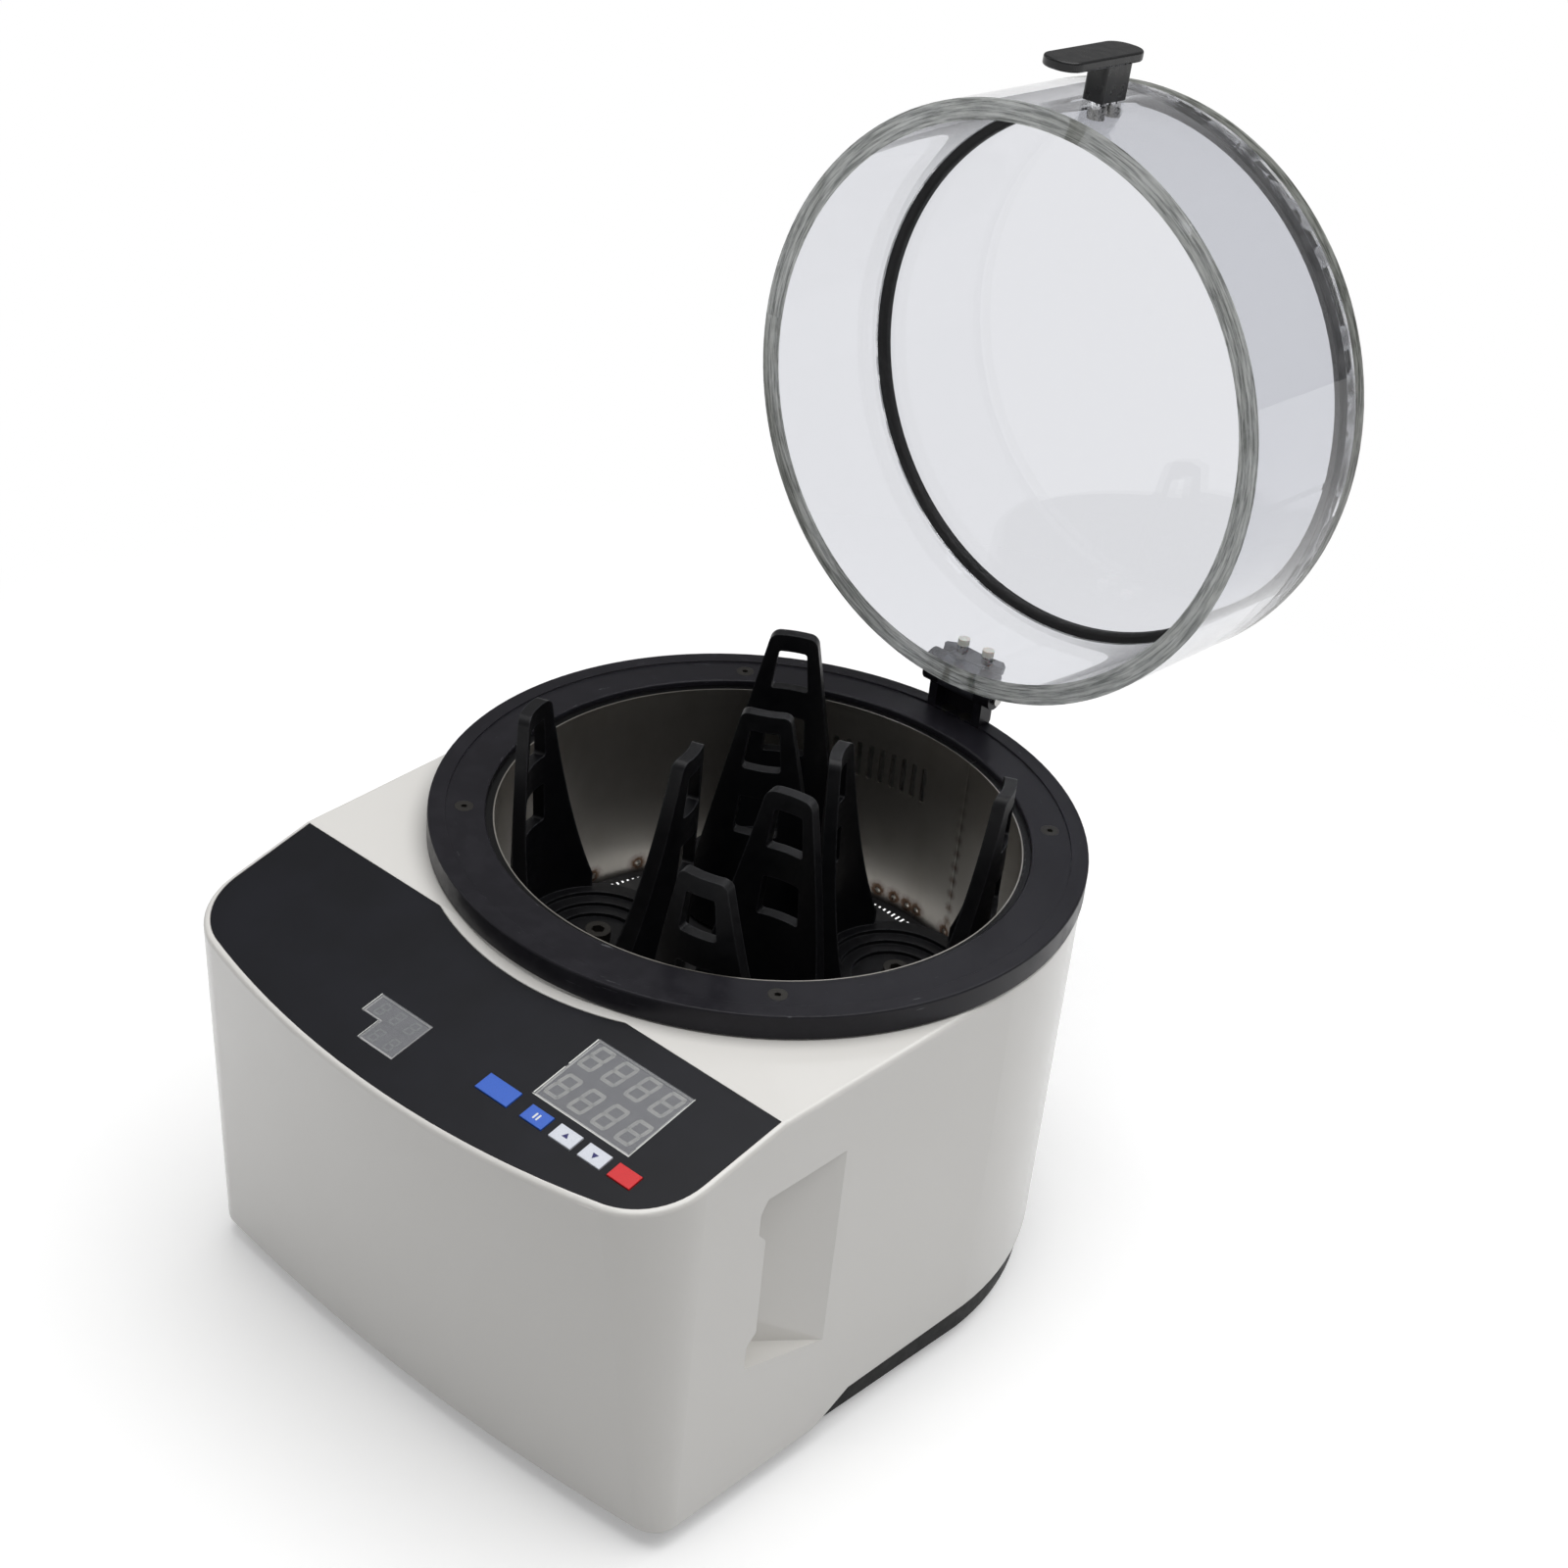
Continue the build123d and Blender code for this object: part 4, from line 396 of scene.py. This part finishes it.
# %% Where the lid is frosted: its sawn rim, its glue and the edge of its disc
rim_level, disc_level, wall_inside = -17.2, 69.6, 138.5
disc_radius, disc_frost = (148.7, 148.95), 0.7
rim = add(tree, "MapRange", {0: level, 1: rim_level + 0.05, 2: rim_level + 0.25, 3: 0.85, 4: 0.0})
from_disc = add(tree, "Math", {0: level, 1: disc_level}, operation="SUBTRACT")
from_disc = add(tree, "Math", {0: from_disc}, operation="ABSOLUTE")
near_joint = add(tree, "MapRange", {0: from_disc, 1: 0.1, 2: 0.8, 3: 1.0, 4: 0.0})
in_wall = add(tree, "MapRange", {0: radius, 1: wall_inside, 2: wall_inside + 0.3})
joint = add(tree, "Math", {0: near_joint, 1: in_wall}, operation="MULTIPLY")
patchy = add(tree, "MapRange", {0: saw, 1: 0.5, 2: 0.66, 3: 0.0, 4: 0.5})
glue = add(tree, "Math", {0: joint, 1: patchy}, operation="MULTIPLY")
outside = add(tree, "MapRange", {0: radius, 1: disc_radius[0], 2: disc_radius[1], 3: 0.0, 4: disc_frost})
over_joint = add(tree, "MapRange", {0: level, 1: disc_level, 2: disc_level + 0.4})
disc_edge = add(tree, "Math", {0: outside, 1: over_joint}, operation="MULTIPLY")
frosted = add(tree, "Math", {0: rim, 1: glue}, operation="MAXIMUM")
frosted = add(tree, "Math", {0: frosted, 1: disc_edge}, operation="MAXIMUM")
print("the lid's rim is at", rim_level, "mm and its disc at", disc_level, "mm along its axis")

# %% Clear and frosted acrylic
sawn = add(tree, "MapRange", {0: saw, 1: 0.4, 2: 0.62})
sawn = add(tree, "Mix", {0: sawn, 6: srgb("4e524a"), 7: srgb("d6d9d2")}, 2, data_type="RGBA")
frost = add(tree, "BsdfPrincipled", {"Base Color": sawn, "Roughness": 0.35, "Transmission Weight": 0.4,
                                     "IOR": 1.49})
both = add(tree, "MixShader", {0: frosted, 1: main.outputs[0], 2: frost})
tree.links.new(both, tree.nodes["Material Output"].inputs["Surface"])
give(acrylic, "lid_tube", "lid_disc")

# %% [markdown]
# ## Small parts and the drive
# The seal is black rubber, the handle is a smooth moulding, the hinge leaf is grey anodised metal and
# the screws in the lid are nylon and steel. The gears, shafts and pulleys under the bowl are bare
# metal with a machined surface. These finishes differ only in their numbers, so one function makes
# them all: two close colours in clouds, a roughness that follows the clouds, and finer bumps.

# %% One finish for small parts


def small_part(name, code, other, scale, rough, metallic=0.0, depth=0.00003, edge=0.0003, **settings):
    """A finish whose colour and roughness vary a little, with fine bumps."""
    made, tree, main = surface(name, Metallic=metallic, **settings)
    where = millimetres(tree)
    change = add(tree, "TexNoise", {"Vector": where, "Scale": scale, "Detail": 4})
    share = add(tree, "MapRange", {0: change, 1: 0.35, 2: 0.65})
    steer(main, Base_Color=add(tree, "Mix", {0: share, 6: srgb(code), 7: srgb(other)}, 2, data_type="RGBA"),
          Roughness=add(tree, "MapRange", {0: change, 1: 0.3, 2: 0.7, 3: rough - 0.06, 4: rough + 0.08}))
    relief(main, add(tree, "TexNoise", {"Vector": where, "Scale": scale * 6, "Detail": 3}), depth, edge)
    return made


print("made the helper", small_part.__name__)

# %% Mouldings
# Moulded plastic gives the eye a soft even shine: the inlet is matt, the handle satin, the rocker glossy.
give(small_part("matt_black_moulding", "121315", "18191b", 0.6, 0.36, depth=0.00001),
     "power_inlet", "switch_frame")
give(small_part("satin_black_handle", "0c0c0e", "101113", 0.2, 0.3, depth=0.000005, edge=0.0), "handle")
give(small_part("gloss_black_rocker", "18181a", "202022", 0.6, 0.25, depth=0.000005), "power_rocker")

# %% Rubber and nylon
# Rubber gives the eye almost no shine, and nylon a milky white that light sinks into.
give(small_part("black_seal_rubber", "141415", "1c1c1d", 0.5, 0.6), "lid_seal")
give(small_part("black_foot_rubber", "1a1a1a", "222222", 0.4, 0.7), "feet")
give(small_part("ribbed_belt_rubber", "1d1d1d", "282828", 0.5, 0.65), "drive_belt")
give(small_part("translucent_nylon", "e4e4df", "d6d6d0", 0.8, 0.35, Subsurface_Weight=0.3,
                Subsurface_Scale=0.002), "leaf_screws")

# %% Painted and anodised metal
# Paint hides the metal and leaves a dull black. A grey anodised skin keeps a little of its glint.
give(small_part("black_painted_pan", "0f0f0f", "151515", 0.2, 0.5, depth=0.00001, Specular_IOR_Level=0.15),
     "base_pan")
give(small_part("black_motor_paint", "232325", "2c2c2e", 0.3, 0.4), "motor_body")
give(small_part("grey_anodised_leaf", "3e4046", "4a4c52", 0.5, 0.4, 0.4), "hinge_leaf")

# %% Bare metal
# Turned and ground steel is bright, cut gear teeth are darker, and cast aluminium is pale and dull.
give(small_part("turned_bright_steel", "b9b8b5", "a3a29f", 0.8, 0.25, 1.0),
     "handle_screws", "hinge_pin", "main_shaft", "motor_shaft", "support_pillars")
give(small_part("ground_bearing_steel", "c0bfbc", "aaa9a6", 0.8, 0.2, 1.0), "main_bearings", "planet_bearings")
give(small_part("hobbed_gear_steel", "8f8e8c", "767573", 0.6, 0.32, 1.0),
     "sun_gear", *[f"planet_gear_{n}" for n in (1, 2, 3, 4)])
give(small_part("bare_cast_aluminium", "b3b2b0", "9c9b99", 0.4, 0.45, 0.9),
     "support_ring", "drive_plate", "bearing_housing", "main_pulley", "motor_pulley", "motor_controller")

# %% [markdown]
# ## Digits behind the panes
# Each display has two rows of unlit digits, on a grey foil over its modules. The digits could be a
# picture, but thin strips keep their edges sharp and lie at their real depth. One bar is a strip with
# pointed ends, seven bars make a digit, and the digit is copied along each row.

# %% The sloping panel
panel_slope, panel_length, half_width = math.radians(12), 100.0 / math.cos(math.radians(12)), 152.0
panel_rear = Vector((0, -0.153, 0.220))
panel = Matrix.Translation(panel_rear) @ Matrix.Rotation(panel_slope, 4, "X")


def panel_spot(share):
    """Place on the panel in millimetres, across from its middle and down from its rear edge."""
    return share[0] * half_width, -share[1] * panel_length


print("the panel is", 2 * half_width, "mm wide and", round(panel_length, 1), "mm long")

# %% Choosing and placing a piece


def only(piece):
    """Makes one object the chosen one."""
    bpy.ops.object.select_all(action="DESELECT")
    piece.select_set(True)
    bpy.context.view_layer.objects.active = piece
    return piece


def put(piece, x, y, z=0.0, turn=0.0):
    """Moves a piece by millimetres and turns it flat, then fixes that in its mesh."""
    only(piece)
    turned = Matrix.Rotation(math.radians(turn), 4, "Z")
    piece.matrix_world = Matrix.Translation(Vector((x, y, z)) / 1000) @ turned
    bpy.ops.object.transform_apply(location=True, rotation=True, scale=True)
    return piece


print("made the helpers", only.__name__, "and", put.__name__)

# %% Copying, joining and laying pieces on the panel


def copy_of(piece, name):
    """A copy with a mesh of its own."""
    only(piece)
    bpy.ops.object.duplicate(linked=False)
    made = bpy.context.object
    made.name = made.data.name = name
    return made


def joined(pieces, name):
    """Joins pieces into one object."""
    only(pieces[0])
    for piece in pieces:
        piece.select_set(True)
    bpy.ops.object.join()
    made = bpy.context.object
    made.name = made.data.name = name
    return made


def onto_panel(piece, body, material):
    """Lays a finished piece on the sloping panel, gives it a finish and lets it ride with a body."""
    only(piece)
    piece.matrix_world = panel
    bpy.ops.object.transform_apply(location=True, rotation=True, scale=True)
    piece.data.materials.clear()
    piece.data.materials.append(material)
    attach(piece, body)
    print(piece.name, "has", len(piece.data.polygons), "faces and rides with", body)
    return piece


print("made the helpers", copy_of.__name__ + ",", joined.__name__, "and", onto_panel.__name__)

# %% Thin strips


def raised(piece, thickness):
    """Gives the flat shape that is open in edit mode a thickness in millimetres, faces outwards."""
    bpy.ops.mesh.select_all(action="SELECT")
    bpy.ops.mesh.extrude_region_move(TRANSFORM_OT_translate={"value": (0, 0, thickness / 1000)})
    bpy.ops.mesh.select_all(action="SELECT")
    bpy.ops.mesh.normals_make_consistent(inside=False)
    bpy.ops.object.mode_set(mode="OBJECT")
    return piece


def strip(name, width, length, thickness, cut=0.0):
    """A flat strip in millimetres, which can have its corners cut."""
    bpy.ops.object.select_all(action="DESELECT")
    bpy.ops.mesh.primitive_plane_add(size=0.001)
    piece = bpy.context.object
    piece.name = piece.data.name = name
    piece.scale = (width, length, 1)
    bpy.ops.object.transform_apply(scale=True)
    bpy.ops.object.mode_set(mode="EDIT")
    bpy.ops.mesh.select_all(action="SELECT")
    if cut:
        bpy.ops.mesh.bevel(offset=cut / 1000, segments=1, affect="VERTICES")
    return raised(piece, thickness)


print("made the helpers", raised.__name__, "and", strip.__name__)

# %% Seven-bar digits


def digit(name, height, lean=8.0):
    """Seven bars, leaning a little as such digits do."""
    width, bar, thickness = height * 0.6, height * 0.125, 0.05
    upright, level, point = height / 2 - bar * 0.4, width - bar * 0.4, bar * 0.42
    slant = math.tan(math.radians(lean))
    bars = []
    for row in (-1, 0, 1):
        y = row * (height - bar) / 2
        bars.append(put(strip(name + "_bar", bar, level, thickness, point), y * slant, y, 0, 90))
    for side in (-1, 1):
        for row in (-1, 1):
            y = row * (height - bar) / 4
            x = side * (width - bar) / 2 + y * slant
            bars.append(put(strip(name + "_bar", bar, upright, thickness, point), x, y, 0, -lean))
    made = joined(bars, name)
    print(name, "is", round(height, 1), "mm high, with", len(made.data.polygons), "faces")
    return made


def rows_of(first, places, depth, name):
    """Copies a digit to each place and joins the copies."""
    made = [put(copy_of(first, first.name), x, y, depth) for x, y in places]
    bpy.data.objects.remove(first)
    return joined(made, name)


print("made the helpers", digit.__name__, "and", rows_of.__name__)

# %% Finishes of foils and digits
# Foil gives the eye an even mid grey. Unlit digits are pale epoxy, and the small ones are fainter.
foil_finish = small_part("grey_face_foil", "817f80", "8a8889", 0.25, 0.5)
digit_finish, tree, main = surface("unlit_digit_epoxy", Roughness=0.45)
cloud = add(tree, "TexNoise", {"Vector": millimetres(tree), "Scale": 0.8, "Detail": 2})
steer(main, Base_Color=add(tree, "Mix", {0: cloud, 6: srgb("d2d1c8"), 7: srgb("dcdbd2")}, 2, data_type="RGBA"))
dim_finish = small_part("dim_digit_epoxy", "9fa19c", "a8aaa5", 0.8, 0.45)
print("finishes:", foil_finish.name + ",", digit_finish.name, "and", dim_finish.name)

# %% Large display: a foil and two rows of four digits
# Depths are in millimetres from the face of the panel. The digits lie a little off the foil's middle.
foil_depth, foil_thickness, digit_depth = -0.89, 0.02, -0.86
display_x, display_y = panel_spot((0.565, 0.3425))
digits_x, digits_y = display_x - 0.45, display_y + 1.1
digit_pitch, half_row = 14.0, 10.2
foil = put(strip("display_foil", 54.2, 38.2, foil_thickness), display_x, display_y, foil_depth)
onto_panel(foil, "housing", foil_finish)
places = [(digits_x + (column - 1.5) * digit_pitch, digits_y + row * half_row)
          for row in (1, -1) for column in range(4)]
digits = rows_of(digit("big_digit", 15.3), places, digit_depth, "display_digits")
onto_panel(digits, "housing", digit_finish)

# %% Small display: a stepped foil, with three digits over two
climate_x, climate_y = panel_spot((-0.1405, 0.668))
small_pitch, half_row = 9.6, 6.25
upper = put(strip("temperature_foil", 30.2, 9.7, foil_thickness), climate_x, climate_y + half_row, foil_depth)
lower = put(strip("temperature_foil", 19.3, 12.45, foil_thickness), climate_x + 5.45, climate_y - 4.875,
            foil_depth)
onto_panel(joined([upper, lower], "temperature_foil"), "housing", foil_finish)
places = [(climate_x + (column - 1) * small_pitch, climate_y + row * half_row)
          for row, columns in ((1, (0, 1, 2)), (-1, (1, 2))) for column in columns]
digits = rows_of(digit("small_digit", 8.0, 6.0), places, digit_depth, "temperature_digits")
onto_panel(digits, "housing", dim_finish)

# %% [markdown]
# ## Printed lines and signs
# White lines are printed along the sides of the panes, and the keys carry plain signs: two bars for a
# pause and an arrow for up and for down. Ink could be drawn in the film's finish, but thin strips are
# easier to place and stay crisp.

# %% Inks
# Printing ink gives the eye a dull even colour with a hint of the screen it came through.
inks = {}
for label, code, other in (("white_printed_ink", "dfe1dc", "f2f4ef"),
                           ("dark_blue_printed_ink", "26255f", "302f75")):
    inks[label], tree, main = surface(label, Roughness=0.5)
    cloud = add(tree, "TexNoise", {"Vector": millimetres(tree), "Scale": 4.0, "Detail": 3})
    steer(main, Base_Color=add(tree, "Mix", {0: cloud, 6: srgb(code), 7: srgb(other)}, 2, data_type="RGBA"))
white_ink, blue_ink = inks.values()
print("inks:", ", ".join(inks))

# %% Lines along the panes
# Each line has its middle from the middle of the pane, its width, its length and its turn.
ink_thickness = 0.03
line_level, half_w, half_d = -0.1, 28.5, 20.5
lines = [(-half_w, half_d * 0.52, 0.55, half_d * 0.9, 0), (-half_w, -half_d * 0.5, 0.55, half_d * 0.94, 0),
         (0, -half_d, 0.32, 2 * half_w + 0.4, 90), (half_w, 0, 0.32, 2 * half_d + 0.3, 0)]
strips = [put(strip("line", width, length, ink_thickness), display_x + x, display_y + y, line_level, turn)
          for x, y, width, length, turn in lines]
small_w, small_d, pane_step = 16.5, 12.5, 10.89
lines = [(-small_w, small_d / 2, 0.4, small_d - 0.3, 0),
         (-small_w + pane_step, -small_d / 2, 0.3, small_d - 0.3, 0)]
strips += [put(strip("line", width, length, ink_thickness), climate_x + x, climate_y + y, line_level, turn)
           for x, y, width, length, turn in lines]
onto_panel(joined(strips, "pane_lines"), "housing", white_ink)

# %% Signs on the keys
key_top, arrow_radius = 0.6, 1.9
x, y = panel_spot((0.454, 0.63))
bars = [put(strip("pause_bar", 0.95, 3.4, ink_thickness, 0.15), x + side * 0.95, y, key_top) for side in (-1, 1)]
onto_panel(joined(bars, "pause_sign"), "pause_button", white_ink)
for name, share, turn, body in (("up_sign", (0.568, 0.63), 0, "up_button"),
                                ("down_sign", (0.681, 0.63), 180, "down_button")):
    bpy.ops.object.select_all(action="DESELECT")
    bpy.ops.mesh.primitive_circle_add(vertices=3, radius=arrow_radius / 1000, fill_type="NGON")
    arrow = bpy.context.object
    arrow.name = arrow.data.name = name
    bpy.ops.object.mode_set(mode="EDIT")
    onto_panel(put(raised(arrow, ink_thickness), *panel_spot(share), key_top, turn), body, blue_ink)

# %% [markdown]
# ## Floor and light
# The machine stands on a plain white floor under one large soft lamp, as in a photographer's tent,
# with a weak lamp at its left. The floor could simply be lit until it is white, but that would wash
# out the housing too. So it looks white to the camera, and to metal and glass, while it sends back
# less light, and the sides of the housing keep their grey. The slots in the bowl's floor look white in
# the photograph, so a white ring of light lies in them, and a weak lamp lights the foot of the wall.

# %% Floor
bpy.ops.object.select_all(action="DESELECT")
bpy.ops.mesh.primitive_plane_add(size=24)
floor = bpy.context.object
floor.name = "studio_floor"
white_floor, tree, main = surface("white_studio_floor", Emission_Color=(1, 1, 1, 1), Roughness=0.9,
                                  Specular_IOR_Level=0.0)
path = add(tree, "LightPath").node.outputs
seen = add(tree, "Math", {0: path["Is Camera Ray"], 1: path["Is Glossy Ray"]}, operation="MAXIMUM")
seen = add(tree, "Math", {0: seen, 1: path["Is Transmission Ray"]}, operation="MAXIMUM")
away = add(tree, "VectorMath", {0: add(tree, "TexCoord", output="Object")}, "Value", operation="LENGTH")
far = add(tree, "MapRange", {0: away, 1: 0.3, 2: 0.8})
pale = add(tree, "Mix", {0: far, 6: srgb("f4f4f4"), 7: (0, 0, 0, 1)}, 2, data_type="RGBA")
glowing = add(tree, "MapRange", {0: far, 1: 0, 2: 1, 3: 0.3, 4: 1.0})
steer(main, Base_Color=add(tree, "Mix", {0: seen, 6: srgb("cacaca"), 7: pale}, 2, data_type="RGBA"),
      Emission_Strength=add(tree, "Math", {0: seen, 1: glowing}, operation="MULTIPLY"))
floor.data.materials.append(white_floor)
print(floor.name, "is", round(floor.dimensions.x), "m wide")

# %% Sky
world = bpy.data.worlds.new("studio_world")
bpy.context.scene.world = world
world.use_nodes = True
tree = world.node_tree
path = add(tree, "LightPath").node.outputs
seen = add(tree, "Math", {0: path["Is Camera Ray"], 1: path["Is Transmission Ray"]}, operation="MAXIMUM")
sky = add(tree, "Mix", {0: seen, 6: (0.25, 0.25, 0.25, 1), 7: (1, 1, 1, 1)}, 2, data_type="RGBA")
tree.links.new(sky, tree.nodes["Background"].inputs["Color"])
print(world.name, "is white to the camera and a quarter as bright to the machine")

# %% Lamps


def lamp(name, where, towards, size, power, shape="SQUARE"):
    """A flat lamp at a place, turned towards another, with its size in metres and its power in watts."""
    bpy.ops.object.light_add(type="AREA", location=where)
    made = bpy.context.object
    made.name = name
    made.data.shape, made.data.size, made.data.energy = shape, size, power
    made.rotation_mode = "QUATERNION"
    made.rotation_quaternion = (Vector(towards) - Vector(where)).to_track_quat("-Z", "Y")
    print(name, "is", size, "m wide and gives", power, "W")


lamp("ceiling_lamp", (0.3, 0.2, 2.4), (0, 0, 0.2), 2.6, 51)
lamp("left_lamp", (-1.8, -0.6, 1.5), (0, 0, 0.2), 1.2, 3)
lamp("foot_lamp", (0, 0, 0.1196), (0, 0, 1.0), 0.25, 0.013, "DISK")

# %% White light in the slots
slot_outside, slot_band, slot_level = 0.1245, 0.019, 0.1184
bpy.ops.object.select_all(action="DESELECT")
bpy.ops.mesh.primitive_circle_add(vertices=96, radius=slot_outside, fill_type="NGON",
                                  location=(0, 0, slot_level))
glow = bpy.context.object
glow.name = "light_under_the_floor"
bpy.ops.object.mode_set(mode="EDIT")
bpy.ops.mesh.select_all(action="SELECT")
bpy.ops.mesh.inset(thickness=slot_band)
bpy.ops.mesh.delete(type="FACE")
bpy.ops.object.mode_set(mode="OBJECT")
white_light = surface("white_light", Base_Color=(0, 0, 0, 1), Emission_Color=(1, 1, 1, 1),
                      Emission_Strength=1.3)[0]
glow.data.materials.append(white_light)
print(glow.name, "has", len(glow.data.polygons), "faces")

# %% [markdown]
# ## Camera
# The camera stands where the photograph was taken from, to the front right and above, turned a few
# degrees about its own axis. Its place could be found by eye, but it was fitted to points on the
# edges of the housing and the ring, so that the edges fall close to where the photograph has them.

# %% Camera
yaw, pitch, roll = (math.radians(v) for v in (38.19, -31.89, 6.10))
forward = Vector((-math.sin(yaw) * math.cos(pitch), math.cos(yaw) * math.cos(pitch), math.sin(pitch)))
level = Vector((math.cos(yaw), math.sin(yaw), 0))
upward = level.cross(forward)
right = level * math.cos(roll) + upward * math.sin(roll)
top = upward * math.cos(roll) - level * math.sin(roll)
camera_place, sensor_width, lens = (0.7041, -0.8793, 0.9539), 36, 63.45
bpy.ops.object.camera_add(location=camera_place)
camera = bpy.context.object
camera.rotation_mode = "QUATERNION"
camera.rotation_quaternion = Matrix((right, top, -forward)).transposed().to_quaternion()
camera.data.sensor_width, camera.data.lens = sensor_width, lens
bpy.context.scene.camera = camera
bpy.context.scene.view_settings.view_transform = "Standard"
print("camera at", [round(v, 3) for v in camera.location])
